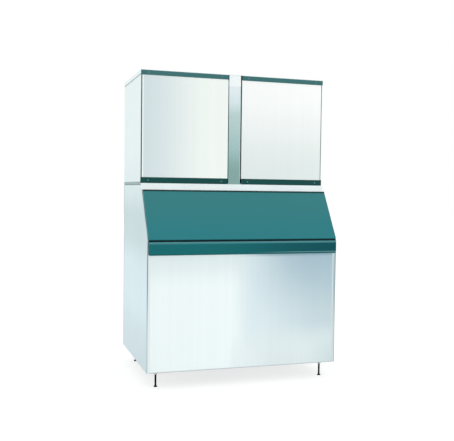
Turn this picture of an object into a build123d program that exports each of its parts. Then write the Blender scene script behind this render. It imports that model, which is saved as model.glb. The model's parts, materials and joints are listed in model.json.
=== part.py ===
from build123d import *
import os
from math import atan2, cos, hypot, radians, sin

# Ice cube machine: a modular ice-making head on an insulated storage bin.
# Millimetres, +Z up, the front faces -Y. The origin is on the floor, under the
# middle of the box that holds the whole machine.

# Overall sizes
WIDTH = 1220.0
BIN_DEPTH = 850.0
HEAD_DEPTH = 610.0
FOOT_HEIGHT = 100.0
BIN_HEIGHT = 1135.0
HEAD_HEIGHT = 690.0
HANDLE_PROUD = 14.0
FITTING_PROUD = 16.0

# Sheet metal and walls
SKIN = 1.2
BEND = 2.5
BIN_FLANGE = 15.0
HEAD_FLANGE = 3.5
LID_RISE = 3.0
HEAD_INSET = 1.5
WALL = 50.0
FLOOR_WALL = 60.0
LINER = 2.0
JOINT_GAP = 1.0

# Front slope of the bin
SLOPE_DROP = 350.0
RAIL_TALL = 49.0
RAIL_PROUD = 6.0
RAIL_GAP = 10.0
MOUTH_TOP = 115.0
MOUTH_SILL = 39.4
MOUTH_SIDE = 65.0

# Bin door
DOOR_SIDE_GAP = 6.0
DOOR_KNEE_GAP = 2.8
DOOR_PROUD_TOP = 23.0
DOOR_PROUD_FOOT = 14.0
DOOR_SKIN = 2.0
GASKET_TALL = 5.0
GASKET_WIDE = 14.0
GASKET_EDGE = 8.0
GASKET_GAP = 0.4
PLUG_GAP = 12.0
PLUG_DEEP = 27.0
PLUG_DRAFT = 12.0

# Door hinge
HINGE_DOWN = 75.5
KNUCKLE_R = 5.5
HINGE_PIN_R = 2.5
HINGE_PLAY = 0.05
HINGE_LEAF = 1.5
KNUCKLE_COUNT = 11
KNUCKLE_END_GAP = 0.5
KNUCKLE_AIR = 0.6
HINGE_FOOT = 10.5

# Door handle strip
HANDLE_TALL = 80.0
HANDLE_GROOVE = 12.0
HANDLE_WALL = 3.5
HANDLE_LIP = 6.0
HANDLE_AIR = 2.0
HANDLE_CORNER = 9.0
HANDLE_TOP_ROUND = 7.0
HANDLE_FOOT_ROUND = 4.0

# Head front
TRIM_THICK = 4.0
TOP_TRIM_TALL = 29.0
FOOT_TRIM_TALL = 38.0
FOOT_TRIM_DROP = 6.0
TRIM_ROUND = 1.5
POST_GAP = 92.0
POST_WIDE = 80.0
POST_RECESS = 4.0
POST_DEEP = 28.0
PANEL_RETURN = 15.0
PANEL_SIDE_GAP = 3.5
SCREW_HEAD_R = 4.5
SCREW_HEAD_TALL = 1.8
SCREW_R = 2.1
SCREW_DOME_SHARE = 0.7
SCREW_OUTER_INSET = 48.0
SCREW_INNER_INSET = 42.0

# Joint between the head and the bin
SEAL = 3.0
SEAL_WIDE = 30.0
BASE_BELOW = 13.0
BASE_ABOVE = 5.0
BASE_FRONT_UP = 23.0
DROP_RIM = 20.0
DROP_SIDE = 62.0
DROP_FRONT = 70.0
DROP_BACK = 90.0

# Feet
FOOT_SIDE = 70.0
FOOT_FRONT = 75.0
FOOT_BACK = 105.0
STUD_R = 6.0
STUD_PLAY = 0.06
STUD_IN_SOCKET = 44.0
PAD_R = 11.0
PAD_TALL = 7.0
SOCKET_R = 14.0
SOCKET_TALL = 48.0
SOCKET_PLATE = 60.0
SOCKET_PLATE_THICK = 3.0
NUT_ACROSS = 20.0
NUT_TALL = 24.0

# Freezing plates and curtains
CELL_PITCH = 33.0
CELL_WALL = 3.0
CELL_DEEP = 24.0
CELL_TILT = 15.0
CELL_END = 1.0
CELL_ROWS = 9
EVAPORATOR_RIM = 9.0
EVAPORATOR_BACK = 3.0
EVAPORATOR_FOOT_UP = 250.0
EVAPORATOR_CENTRE_BACK = 290.0
COIL_TUBE_R = 5.0
COIL_ROWS = 4
COIL_IN = 20.0
COIL_PLAY = 0.1
COIL_BEND_SHARE = 0.45
CURTAIN_AIR = 14.0
CURTAIN_THICK = 2.5
CURTAIN_OVER = 6.0
CURTAIN_KICK = 8.4
CURTAIN_PIN_R = 3.0
CURTAIN_PIN_PLAY = 0.05
CURTAIN_PIN_IN = 20.0
CURTAIN_EYE_R = 6.0
CURTAIN_BELOW = 40.0
HANGER_THICK = 3.0
HANGER_AIR = 1.0
HANGER_EDGE = 2.0
WET_SIDE = 19.0

# Water: trough, pump, spray tubes and float valve
TROUGH_WALL = 3.0
TROUGH_TALL = 70.0
TROUGH_AIR = 45.0
TROUGH_WIDE = 116.0
TROUGH_CORNER = 12.0
TROUGH_DRAFT = 3.0
PUMP_END = 92.0
VALVE_END = 70.0
PUMP_R = 34.0
PUMP_TALL = 78.0
PUMP_ROUND = 5.0
PUMP_PLATE = 4.0
PUMP_PLATE_GAP = 6.0
PUMP_TAIL_R = 12.0
PUMP_TAIL_LONG = 20.0
SHAFT_R = 4.0
SHAFT_PLAY = 0.06
SHAFT_END_AIR = 2.0
IMPELLER_R = 18.0
IMPELLER_TALL = 14.0
IMPELLER_DISC = 3.0
IMPELLER_UP = 8.0
IMPELLER_VANES = 5
VANE_THICK = 2.0
SPRAY_TUBE_R = 9.0
SPRAY_WALL = 1.5
SPRAY_END = 3.0
SPRAY_HOLE_R = 1.6
FLOAT_R = 17.0
FLOAT_ARM = 46.0
FLOAT_DROP = 18.0
FLOAT_ROD_R = 2.5
FLOAT_EYE_R = 5.0
FLOAT_EYE_WIDE = 9.0
FLOAT_PIN_R = 2.0
FLOAT_PIN_PLAY = 0.06
FLOAT_ROOM = 44.5
PIVOT_IN = 14.0
PIVOT_UP = 16.0
VALVE_R = 11.0
FORK_THICK = 3.0
FORK_AIR = 0.5
FORK_HALF = 6.0
FORK_FRONT = 5.0
FORK_BACK = 9.0

# Compressor and its lines
COMPRESSOR_R = 88.0
COMPRESSOR_TALL = 250.0
COMPRESSOR_X = 190.0
COMPRESSOR_BACK = 185.0
COMPRESSOR_FOOT_R = 61.6
COMPRESSOR_DOME_R = 52.8
COMPRESSOR_PLATE = 4.0
SEAM_PROUD = 4.0
SEAM_TALL = 5.0
MOUNT_REACH = 72.0
GROMMET_R = 14.0
GROMMET_TALL = 18.0
DRIER_R = 25.0
DRIER_LONG = 130.0
DRIER_CONE = 18.0
DRIER_NECK_R = 7.0
DRIER_NECK_LONG = 12.0
DRIER_UP = 300.0
DRIER_BEHIND = 90.0
DRIER_AIR = 10.0
LINE_R = 6.0
THIN_LINE_R = 5.0
LINE_HOLE_AIR = 4.0
LINE_BEND = 22.0
THIN_LINE_BEND = 14.0
COIL_END = 30.0
SUCTION_SIDE = 60.0
SUCTION_UP = 150.0
LIQUID_DROP = 60.0
HOT_FRONT = 30.0

# Condenser and its fan
CONDENSER_LONG = 430.0
CONDENSER_TALL = 400.0
CONDENSER_DEEP = 60.0
CONDENSER_UP = 70.0
CONDENSER_SIDE = 24.0
CONDENSER_AIR = 6.0
CONDENSER_TUBES = 5
CONDENSER_TUBE_R = 6.0
FIN_COUNT = 18
FIN_THICK = 3.0
SHROUD_DEEP = 40.0
SHROUD_WALL = 1.5
FAN_R = 165.0
FAN_TIP_AIR = 8.0
FAN_BLADES = 5
FAN_ROOT_PITCH = 45.0
FAN_TIP_PITCH = 25.0
FAN_BLADE_THICK = 3.0
FAN_ROOT_WIDE = 33.0
FAN_TIP_WIDE = 102.0
FAN_HUB_R = 30.0
FAN_HUB_DEEP = 34.0
FAN_HUB_END = 4.0
FAN_MOTOR_R = 42.0
FAN_MOTOR_LONG = 80.0
FAN_MOTOR_AIR = 12.0
FAN_MOTOR_ROUND = 4.0
FAN_PLATE_R = 29.4
FAN_PLATE_THICK = 6.0
FAN_ARM_R = 4.0
FAN_ARM_IN = 21.0
FAN_ARM_OVER = 12.0
FAN_ARM_BEND = 20.0

# Control box and its switch
BOX_WIDE = 240.0
BOX_TALL = 230.0
BOX_DEEP = 70.0
BOX_WALL = 2.0
BOX_ROUND = 6.0
BOX_AIR = 20.0
BOX_UNDER_LID = 30.0
BOX_HANGER_IN = 40.0
BOX_HANGER_WIDE = 24.0
BOX_HANGER_SIDE = 10.0
SWITCH_WIDE = 20.0
SWITCH_TALL = 28.0
SWITCH_DEEP = 24.0
WELL_WIDE = 9.0
WELL_TALL = 22.0
WELL_DEEP = 18.0
SLOT_WIDE = 10.0
SLOT_TALL = 18.0
TOGGLE_R = 3.0
TOGGLE_LONG = 18.0
TOGGLE_EYE_R = 4.0
TOGGLE_PIN_R = 1.5
TOGGLE_PIN_PLAY = 0.06
TOGGLE_PIN_IN = 9.0

# Louvres
LOUVRE_LONG = 190.0
LOUVRE_PITCH = 26.0
LOUVRE_COLUMN_GAP = 19.0
LOUVRE_TALL = 9.0
LOUVRE_DEEP = 9.0
SIDE_LOUVRES = 12
BACK_LOUVRES = 10
BACK_LOUVRE_UP = 112.0

# Service fittings at the back
DRAIN_R = 12.5
DRAIN_WALL = 3.5
DRAIN_UP = 26.0
DRAIN_COLLAR = 3.0
DRAIN_COLLAR_EDGE = 6.0
INLET_R = 7.0
INLET_WALL = 3.0
INLET_SHARE = 0.25
GLAND_R = 6.5
GLAND_WALL = 4.0
GLAND_SHARE = 0.2
SERVICE_UP = 50.0
SERVICE_NUT = 6.0
SERVICE_NUT_EDGE = 3.5

# Bin thermostat
BULB_R = 5.0
BULB_LONG = 150.0
BULB_UP = 60.0
BULB_SIDE = 25.0
BULB_BACK = 40.0
BULB_CLIP = 16.0

# Places that follow from the sizes above
HALF = WIDTH / 2
BACK = (HANDLE_PROUD + BIN_DEPTH + FITTING_PROUD) / 2 - FITTING_PROUD
BIN_FRONT = BACK - BIN_DEPTH
HEAD_FRONT = BACK - HEAD_DEPTH
FRONT_PLANE = HEAD_FRONT + TRIM_THICK
JOINT_Z = FOOT_HEIGHT + BIN_HEIGHT
TRIM_TOP = JOINT_Z + HEAD_HEIGHT
LID_TOP = TRIM_TOP + LID_RISE
BASE_FOOT = JOINT_Z - BASE_BELOW
BASE_TOP = JOINT_Z + BASE_ABOVE
BIN_TOP = BASE_FOOT - SEAL
LID_FOOT = TRIM_TOP - TOP_TRIM_TALL + LID_RISE
SLOPE_RUN = HEAD_FRONT - BIN_FRONT
SLOPE = atan2(SLOPE_RUN, SLOPE_DROP)
SLOPE_LONG = hypot(SLOPE_RUN, SLOPE_DROP)
HEAD_HALF = HALF - HEAD_INSET
CAVITY_HALF = HALF - WALL
CAVITY_FLOOR = FOOT_HEIGHT + FLOOR_WALL
MOUTH_HALF = HALF - MOUTH_SIDE
MOUTH_FOOT = SLOPE_LONG - MOUTH_SILL
DOOR_HALF = HALF - DOOR_SIDE_GAP
DOOR_TOP = HINGE_DOWN + KNUCKLE_R + KNUCKLE_AIR
DOOR_FOOT = SLOPE_LONG - DOOR_KNEE_GAP
HINGE_OUT = DOOR_PROUD_TOP - HINGE_LEAF
INSIDE_HALF = HEAD_HALF - SKIN
CHAMBER_FLOOR = BASE_FOOT + SKIN
PLATE_ROOM = INSIDE_HALF - WET_SIDE - PUMP_END - VALVE_END - FLOAT_ROOM
CELL_COLUMNS = int((PLATE_ROOM - 2 * EVAPORATOR_RIM) // CELL_PITCH)

parts = {}


def on_slope(down, out):
    """A point in Y and Z, from its way down the slope and out from it."""
    y = HEAD_FRONT - down * sin(SLOPE) - out * cos(SLOPE)
    z = JOINT_Z - down * cos(SLOPE) + out * sin(SLOPE)
    return y, z


def block(x, y, z):
    """A box between two values on each axis."""
    size = [high - low for low, high in (x, y, z)]
    middle = [(low + high) / 2 for low, high in (x, y, z)]
    return Pos(*middle) * Box(*size)


def side_face(points):
    """An outline in Y and Z."""
    return Plane.YZ * make_face(Polyline(*points, close=True))


def side_prism(points, half):
    """A side-view outline in Y and Z, as wide as twice half."""
    return extrude(side_face(points), half, both=True)


def slope_prism(points, half):
    """An outline given down the slope and out from it, as wide as twice half."""
    return side_prism([on_slope(*point) for point in points], half)


def slope_plane(out):
    """The plane of the bin's front slope, out from it; local Y runs up the slope."""
    y, z = on_slope(0, out)
    return Plane(origin=(0, y, z), x_dir=(1, 0, 0), z_dir=(0, -cos(SLOPE), sin(SLOPE)))


def slope_sheet(half, top, foot, low, high, taper=0.0):
    """A sheet on the slope between two ways down it and two heights off it."""
    outline = Pos(0, -(top + foot) / 2) * Rectangle(2 * half, foot - top)
    return extrude(slope_plane(high) * outline, -(high - low), taper=taper)


def pan(outline, deep, sheet=SKIN, bend=0.0):
    """A sheet facing up with its rim turned down, and its outer bend rounded."""
    shell = extrude(outline, -deep)
    if bend:
        shell = fillet(shell.faces().sort_by(Axis.Z)[-1].edges(), bend)
    hollow = extrude(offset(outline, -sheet, kind=Kind.INTERSECTION), -deep)
    return shell - Pos(0, 0, -sheet) * hollow


def rectangle(x, y):
    """A flat rectangle between two values on each local axis."""
    middle = Pos((x[0] + x[1]) / 2, (y[0] + y[1]) / 2)
    return middle * Rectangle(x[1] - x[0], y[1] - y[0])


def facing_front(y):
    """The plane at y that faces the front, with local X and Y along X and Z."""
    return Plane.XZ.offset(-y)


def facing_back(y):
    """The plane at y that faces the back; its local X runs along -X."""
    return Plane(origin=(0, y, 0), x_dir=(-1, 0, 0), z_dir=(0, 1, 0))


def rod(radius, start, end):
    """A round bar between two points."""
    line = Line(start, end)
    return extrude(Plane(start, z_dir=line % 0) * Circle(radius), line.length)


def tube_run(points, radius, bend):
    """A round pipe along straight runs joined by tangent bends."""
    path = FilletPolyline(*points, radius=bend)
    return sweep(Plane(path @ 0, z_dir=path % 0) * Circle(radius), path=path)


def louvre_rows(count, foot):
    """The heights of a bank of louvres above foot."""
    return [foot + LOUVRE_PITCH * (row + 0.5) for row in range(count)]


def louvre_slot(sheet):
    """A slot through a sheet that faces up."""
    return Pos(0, 0, -sheet / 2) * Box(LOUVRE_LONG, LOUVRE_TALL, 2 * sheet)


def louvre_blade(sheet):
    """The blade pressed inwards under a slot, in a sheet that faces up."""
    low, high = -LOUVRE_TALL / 2, LOUVRE_TALL / 2
    outline = [
        (low - sheet, -sheet),
        (low, -sheet),
        (high, -LOUVRE_DEEP),
        (high - sheet, -LOUVRE_DEEP),
    ]
    face = Plane.YZ * make_face(Polyline(*outline, close=True))
    return extrude(face, LOUVRE_LONG / 2, both=True)


def louvred(panel, places):
    """A panel facing up, with a slot and its blade at each place."""
    slots = [Pos(x, y) * louvre_slot(SKIN) for x, y in places]
    blades = [Pos(x, y) * louvre_blade(SKIN) for x, y in places]
    return panel - slots + blades


# Bin: outlines
def bin_outline(inset=0.0):
    """The bin's side view, drawn in by inset all round."""
    slope_in = inset / cos(SLOPE)
    front, back = BIN_FRONT + inset, BACK - inset
    foot, top = FOOT_HEIGHT + inset, BIN_TOP - inset
    run_per_drop = SLOPE_RUN / SLOPE_DROP

    def slope_y(z):
        return HEAD_FRONT + slope_in - (JOINT_Z - z) * run_per_drop

    knee = JOINT_Z - (HEAD_FRONT + slope_in - front) / run_per_drop
    return [(front, foot), (back, foot), (back, top), (slope_y(top), top), (front, knee)]


def cavity_outline(inset=0.0, over=0.0):
    """The side view of the ice store, open at the top."""
    wall = WALL + inset
    outline = bin_outline(wall)
    front, back = BIN_FRONT + wall, BACK - wall
    floor, top = CAVITY_FLOOR + inset, BIN_TOP + over
    slope_y, slope_z = outline[3]
    lean = (slope_y - front) / (slope_z - outline[4][1])
    return [
        (front, floor),
        (back, floor),
        (back, top),
        (slope_y + (top - slope_z) * lean, top),
        (front, outline[4][1]),
    ]


def store_space(inset=0.0):
    """The space inside the bin with its sloping mouth, drawn in by inset."""
    over = 10.0
    half = CAVITY_HALF - inset
    cavity = side_prism(cavity_outline(inset, over), half)
    mouth = slope_sheet(
        MOUTH_HALF - inset, MOUTH_TOP + inset, MOUTH_FOOT - inset, -WALL - over, over
    )
    return cavity + mouth


# Bin: outer sheets
def bin_side_panel():
    """The right side sheet, with its rim turned in all round."""
    outline = make_face(Polyline(*bin_outline(), close=True))
    return Plane.YZ.offset(HALF) * pan(outline, BIN_FLANGE, bend=BEND)


def flat_half():
    """Half the width of the sheets that lie between the side panels' rims."""
    return HALF - BIN_FLANGE - JOINT_GAP


def front_sheet():
    """The lower front sheet, with its top edge turned in under the door's sill."""
    knee_y, knee_z = bin_outline()[4]
    foot = FOOT_HEIGHT + SKIN
    sheet = block((-flat_half(), flat_half()), (BIN_FRONT, BIN_FRONT + SKIN), (foot, knee_z))
    return sheet - slope_sheet(HALF, 0, SLOPE_LONG + WALL, -SKIN, WALL)


def back_sheet():
    """The back sheet, with the drain's hole."""
    half = flat_half()
    sheet = block((-half, half), (BACK - SKIN, BACK), (FOOT_HEIGHT + SKIN, BIN_TOP - SKIN))
    return sheet - drain_core(DRAIN_R + DRAIN_WALL)


def mouth_sheet():
    """The sheet on the slope round the mouth."""
    top = SKIN / sin(SLOPE) + (JOINT_Z - BIN_TOP) / cos(SLOPE)
    sheet = slope_sheet(flat_half(), top, SLOPE_LONG, -SKIN, 0)
    hole = slope_sheet(MOUTH_HALF, MOUTH_TOP, MOUTH_FOOT, -WALL, WALL)
    return sheet - hole


def foot_places():
    """The four feet in plan, by name."""
    x = HALF - FOOT_SIDE
    front, back = BIN_FRONT + FOOT_FRONT, BACK - FOOT_BACK
    return {
        "front_left": (-x, front),
        "front_right": (x, front),
        "back_left": (-x, back),
        "back_right": (x, back),
    }


def base_sheet():
    """The bottom sheet, with a hole for each foot's stud."""
    y_range = (BIN_FRONT + SKIN, BACK - SKIN)
    sheet = block((-flat_half(), flat_half()), y_range, (FOOT_HEIGHT, FOOT_HEIGHT + SKIN))
    return sheet + [leg_socket(x, y) for x, y in foot_places().values()] - [
        stud_bore(x, y) for x, y in foot_places().values()
    ]


# Bin: inside
def drain_core(radius):
    """A round core along the drain, from the ice store to the back."""
    z = CAVITY_FLOOR + LINER + DRAIN_UP
    return rod(radius, (0, BACK - WALL - LINER, z), (0, BACK + FITTING_PROUD, z))


def drain_fitting():
    """The drain pipe through the back wall, with a collar outside."""
    z = CAVITY_FLOOR + LINER + DRAIN_UP
    outer_r = DRAIN_R + DRAIN_WALL
    collar_r = outer_r + DRAIN_COLLAR_EDGE
    profile = [
        (DRAIN_R, BACK - WALL),
        (DRAIN_R, BACK + FITTING_PROUD),
        (outer_r, BACK + FITTING_PROUD),
        (outer_r, BACK + DRAIN_COLLAR),
        (collar_r, BACK + DRAIN_COLLAR),
        (collar_r, BACK),
        (outer_r, BACK),
        (outer_r, BACK - WALL),
    ]
    face = make_face(Polyline(*profile, close=True))
    return Pos(0, 0, z) * revolve(face, Axis.Y)


def socket_space(x, y):
    """The leg socket's plate and barrel, as they sit in the foam."""
    foot = FOOT_HEIGHT + SKIN
    plate = Pos(x, y, foot + SOCKET_PLATE_THICK / 2) * Box(
        SOCKET_PLATE, SOCKET_PLATE, SOCKET_PLATE_THICK
    )
    return plate + rod(SOCKET_R, (x, y, foot), (x, y, foot + SOCKET_TALL))


def leg_socket(x, y):
    """A leg socket, with the long hexagon under the bin that ends it."""
    hexagon = extrude(RegularPolygon(NUT_ACROSS / 2, 6, major_radius=False), NUT_TALL)
    return Pos(x, y, FOOT_HEIGHT - NUT_TALL) * hexagon + socket_space(x, y)


def stud_bore(x, y):
    """The bore of a leg socket, closed at its top."""
    bore_top = FOOT_HEIGHT + SKIN + SOCKET_TALL - SOCKET_PLATE_THICK
    return rod(STUD_R + STUD_PLAY, (x, y, 0), (x, y, bore_top))


def bin_foam():
    """The foamed wall between the outer sheets and the liner."""
    foam = side_prism(bin_outline(SKIN), HALF - SKIN) - store_space()
    foam -= [socket_space(x, y) for x, y in foot_places().values()]
    return foam - liner_rim() - drain_core(DRAIN_R + DRAIN_WALL)


def bin_liner():
    """The moulded skin of the ice store and its mouth."""
    slope_cut = slope_sheet(HALF, 0, SLOPE_LONG, -SKIN, WALL)
    top_cut = block((-HALF, HALF), (BIN_FRONT, BACK), (BIN_TOP, JOINT_Z))
    liner = store_space() + liner_rim() - store_space(LINER) - slope_cut - top_cut
    return liner - drain_core(DRAIN_R + DRAIN_WALL)


def liner_rim():
    """The liner's rim on top of the walls, that the head's seal lies on."""
    y_range = (bin_outline(SKIN)[3][0], BACK - SKIN)
    return block((-flat_half(), flat_half()), y_range, (BIN_TOP - SKIN, BIN_TOP))


def head_seal():
    """The soft strip between the bin's rim and the head."""
    front = bin_outline()[3][0] + SEAL_WIDE / 2
    outer = rectangle((-HALF + BEND, HALF - BEND), (front, BACK - BEND))
    inner = rectangle(
        (-CAVITY_HALF, CAVITY_HALF), (cavity_outline()[3][0] + SEAL_WIDE / 2, BACK - WALL)
    )
    return Pos(0, 0, BIN_TOP) * extrude(outer - inner, SEAL)


def bulb_holder():
    """The bin thermostat's tube, hung under the head through the drop opening."""
    x, y = -INSIDE_HALF + DROP_SIDE + BULB_SIDE, BACK - DROP_BACK - BULB_BACK
    top = CHAMBER_FLOOR + BULB_UP
    clip_y = (y - BULB_CLIP / 2, y + BULB_CLIP / 2)
    clip = block((-INSIDE_HALF, x), clip_y, (top - SKIN, top))
    return clip + rod(BULB_R, (x, y, top - BULB_LONG), (x, y, top))


def front_rail():
    """The folded white rail under the head's front."""
    foot = RAIL_GAP + RAIL_TALL
    outer = slope_sheet(HALF, RAIL_GAP, foot, 0, RAIL_PROUD)
    outer = fillet(outer.edges().filter_by(Axis.X).sort_by(Axis.Y)[:2], BEND)
    hollow = slope_sheet(HALF - SKIN, RAIL_GAP + SKIN, foot - SKIN, -SKIN, RAIL_PROUD - SKIN)
    return outer - hollow


# Feet
def foot(x, y):
    """One levelling foot: a stud with its pad."""
    top = FOOT_HEIGHT + SKIN + STUD_IN_SOCKET
    profile = [
        (0, 0),
        (PAD_R, 0),
        (PAD_R, PAD_TALL / 2),
        (STUD_R, PAD_TALL),
        (STUD_R, top),
        (0, top),
    ]
    return Pos(x, y) * revolve(Plane.XZ * make_face(Polyline(*profile, close=True)), Axis.Z)


# Door
def door_panel():
    """The door's outer shell, open towards the bin."""
    outline = [
        (DOOR_TOP, GASKET_TALL),
        (DOOR_TOP, DOOR_PROUD_TOP),
        (DOOR_FOOT, DOOR_PROUD_FOOT),
        (DOOR_FOOT, GASKET_TALL),
    ]
    outer = slope_prism(outline, DOOR_HALF)
    outer = fillet(outer.faces().sort_by(Axis.Y)[0].edges(), BEND)
    return outer - door_fill(-GASKET_TALL)


def door_fill(back):
    """The space inside the door's shell, from a height off the slope outwards."""
    top, foot_end = DOOR_TOP + DOOR_SKIN, DOOR_FOOT - DOOR_SKIN
    return slope_prism(
        [
            (top, back),
            (top, DOOR_PROUD_TOP - DOOR_SKIN),
            (foot_end, DOOR_PROUD_FOOT - DOOR_SKIN),
            (foot_end, back),
        ],
        DOOR_HALF - DOOR_SKIN,
    )


def plug(inset=0.0, deep=PLUG_DEEP):
    """The tapered plug that reaches into the mouth."""
    return slope_sheet(
        MOUTH_HALF - PLUG_GAP - inset,
        MOUTH_TOP + PLUG_GAP + inset,
        MOUTH_FOOT - PLUG_GAP - inset,
        GASKET_TALL - deep,
        GASKET_TALL,
        taper=PLUG_DRAFT,
    )


def plug_throat():
    """The hole in the liner's sheet through which the plug is foamed."""
    return slope_sheet(
        MOUTH_HALF - PLUG_GAP - DOOR_SKIN,
        MOUTH_TOP + PLUG_GAP + DOOR_SKIN,
        MOUTH_FOOT - PLUG_GAP - DOOR_SKIN,
        GASKET_TALL,
        GASKET_TALL + DOOR_SKIN,
    )


def door_liner():
    """The door's inner sheet with its moulded plug."""
    sheet = slope_sheet(
        DOOR_HALF - DOOR_SKIN,
        DOOR_TOP + DOOR_SKIN,
        DOOR_FOOT - DOOR_SKIN,
        GASKET_TALL,
        GASKET_TALL + DOOR_SKIN,
    )
    return sheet + plug() - plug(DOOR_SKIN, PLUG_DEEP - DOOR_SKIN) - plug_throat()


def door_foam():
    """The foam inside the door and its plug."""
    return door_fill(GASKET_TALL + DOOR_SKIN) + plug_throat() + plug(
        DOOR_SKIN, PLUG_DEEP - DOOR_SKIN
    )


def door_gasket():
    """The seal that runs round the mouth on the back of the door."""
    far, near = GASKET_EDGE + GASKET_WIDE, GASKET_EDGE

    def ring(edge):
        return slope_sheet(
            MOUTH_HALF + edge, MOUTH_TOP - edge, MOUTH_FOOT + edge, GASKET_GAP, GASKET_TALL
        )

    return ring(far) - ring(near)


def handle_strip():
    """The full-width strip under the door, hooked so that fingers reach behind it."""
    front = BIN_FRONT - HANDLE_PROUD
    joint_y, joint_z = on_slope(DOOR_FOOT, GASKET_TALL)
    web_y, web_z = on_slope(DOOR_FOOT, GASKET_TALL + HANDLE_WALL)
    top = joint_z - HANDLE_GROOVE + HANDLE_WALL
    foot = top - HANDLE_TALL
    inner, ceiling, floor = front + HANDLE_WALL, top - HANDLE_WALL, foot + HANDLE_WALL
    outline = [
        (front, foot),
        (front, top),
        (web_y, top),
        (web_y, web_z),
        (joint_y, joint_z),
        (min(joint_y, BIN_FRONT - HANDLE_AIR), ceiling),
        (inner, ceiling),
        (inner, floor),
        (front + HANDLE_LIP, floor),
        (front + HANDLE_LIP, foot),
    ]
    section = side_face(outline)
    rounds = {
        (front, top): HANDLE_TOP_ROUND,
        (inner, ceiling): HANDLE_TOP_ROUND - HANDLE_WALL,
        (front, foot): HANDLE_FOOT_ROUND,
        (inner, floor): HANDLE_FOOT_ROUND - HANDLE_WALL,
    }
    for (y, z), radius in rounds.items():
        section = fillet(section.vertices().sort_by_distance((0, y, z))[0], radius)
    ends = rectangle((-DOOR_HALF, DOOR_HALF), (foot, top + HANDLE_TALL))
    ends = fillet(ends.vertices().sort_by(Axis.Y)[:2], HANDLE_CORNER)
    slab = extrude(facing_front(BIN_FRONT) * ends, 2 * HANDLE_PROUD, both=True)
    return extrude(section, DOOR_HALF, both=True) & slab


# Hinge
def hinge_spans():
    """The knuckles' ends along the hinge, from left to right."""
    pitch = 2 * DOOR_HALF / KNUCKLE_COUNT
    gap = KNUCKLE_END_GAP / 2
    starts = [-DOOR_HALF + pitch * index for index in range(KNUCKLE_COUNT)]
    return [(start + gap, start + pitch - gap) for start in starts]


def hinge_bar(radius, span):
    """A round bar on the hinge line."""
    y, z = on_slope(HINGE_DOWN, HINGE_OUT)
    return rod(radius, (span[0], y, z), (span[1], y, z))


def hinge_leaf(outline, first, play):
    """A leaf whose knuckles are every other one, from the one numbered first."""
    leaf = slope_prism(outline, DOOR_HALF)
    spans = hinge_spans()
    own, other = spans[first::2], spans[1 - first :: 2]
    air = KNUCKLE_END_GAP / 2
    room = [hinge_bar(KNUCKLE_R + KNUCKLE_AIR, (low - air, high + air)) for low, high in other]
    knuckles = [hinge_bar(KNUCKLE_R, span) for span in own]
    return leaf - room + knuckles - hinge_bar(HINGE_PIN_R + play, (-HALF, HALF))


def fixed_leaf():
    """The hinge leaf on the bin, an angle screwed down under the rail."""
    plate = HINGE_DOWN - KNUCKLE_R
    outline = [
        (plate - HINGE_FOOT, 0),
        (plate - HINGE_FOOT, HINGE_LEAF),
        (plate, HINGE_LEAF),
        (plate, HINGE_OUT),
        (plate + HINGE_LEAF, HINGE_OUT),
        (plate + HINGE_LEAF, 0),
    ]
    return hinge_leaf(outline, 0, 0.0)


def door_leaf():
    """The hinge leaf on the door's top edge."""
    plate = DOOR_TOP
    outline = [
        (plate - HINGE_LEAF, GASKET_TALL),
        (plate - HINGE_LEAF, HINGE_OUT),
        (plate, HINGE_OUT),
        (plate, GASKET_TALL),
    ]
    return hinge_leaf(outline, 1, HINGE_PLAY)


# Head: sheets
def side_sheet():
    """A side sheet of the head, facing up, with its top corners relieved for the cover."""
    sheet = pan(rectangle((FRONT_PLANE, BACK), (BASE_TOP, LID_TOP - SKIN)), HEAD_FLANGE)
    relief = Box(2 * SKIN, LID_TOP - LID_FOOT, 4 * HEAD_FLANGE)
    return sheet - [Pos(y, (LID_FOOT + LID_TOP) / 2) * relief for y in (FRONT_PLANE, BACK)]


def head_side():
    """The right side sheet of the head, with its rim turned in."""
    return Plane.YZ.offset(HEAD_HALF) * side_sheet()


def louvre_columns(middle):
    """The middles of two columns of louvres side by side."""
    reach = (LOUVRE_LONG + LOUVRE_COLUMN_GAP) / 2
    return middle - reach, middle + reach


def right_side():
    """The right side sheet, with the condenser's air intake."""
    columns = louvre_columns(BACK - CONDENSER_SIDE - CONDENSER_LONG / 2)
    rows = louvre_rows(SIDE_LOUVRES, BASE_TOP + CONDENSER_UP)
    places = [(y, z) for z in rows for y in columns]
    return Plane.YZ.offset(HEAD_HALF) * louvred(side_sheet(), places)


def head_back():
    """The back sheet of the head, with the air outlet and the service holes."""
    half = HEAD_HALF - HEAD_FLANGE - JOINT_GAP
    outline = rectangle((-half, half), (BASE_TOP + JOINT_GAP, LID_FOOT - JOINT_GAP))
    rows = louvre_rows(BACK_LOUVRES, BASE_TOP + BACK_LOUVRE_UP)
    places = [(x, z) for z in rows for x in louvre_columns(-half / 2)]
    sheet = facing_back(BACK) * louvred(pan(outline, PANEL_RETURN), places)
    holes = [
        rod(radius, (x, BACK - WALL, z), (x, BACK + WALL, z)) for radius, x, z in service_holes()
    ]
    return sheet - holes


def service_holes():
    """The radius and place of the two service holes in the head's back."""
    z = BASE_TOP + SERVICE_UP
    return [
        (INLET_R + INLET_WALL, -HALF * INLET_SHARE, z),
        (GLAND_R + GLAND_WALL, HALF * GLAND_SHARE, z),
    ]


def service_fitting(bore, wall, place):
    """A fitting through the head's back, with its nut outside."""
    x, z = place
    outer = bore + wall
    stem = rod(outer, (x, BACK - PANEL_RETURN, z), (x, BACK + FITTING_PROUD, z))
    hexagon = RegularPolygon(outer + SERVICE_NUT_EDGE, 6, major_radius=False)
    nut = extrude(facing_back(BACK) * Pos(-x, z) * hexagon, SERVICE_NUT)
    core = rod(bore, (x, BACK - WALL, z), (x, BACK + WALL, z))
    return stem + nut - core


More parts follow.
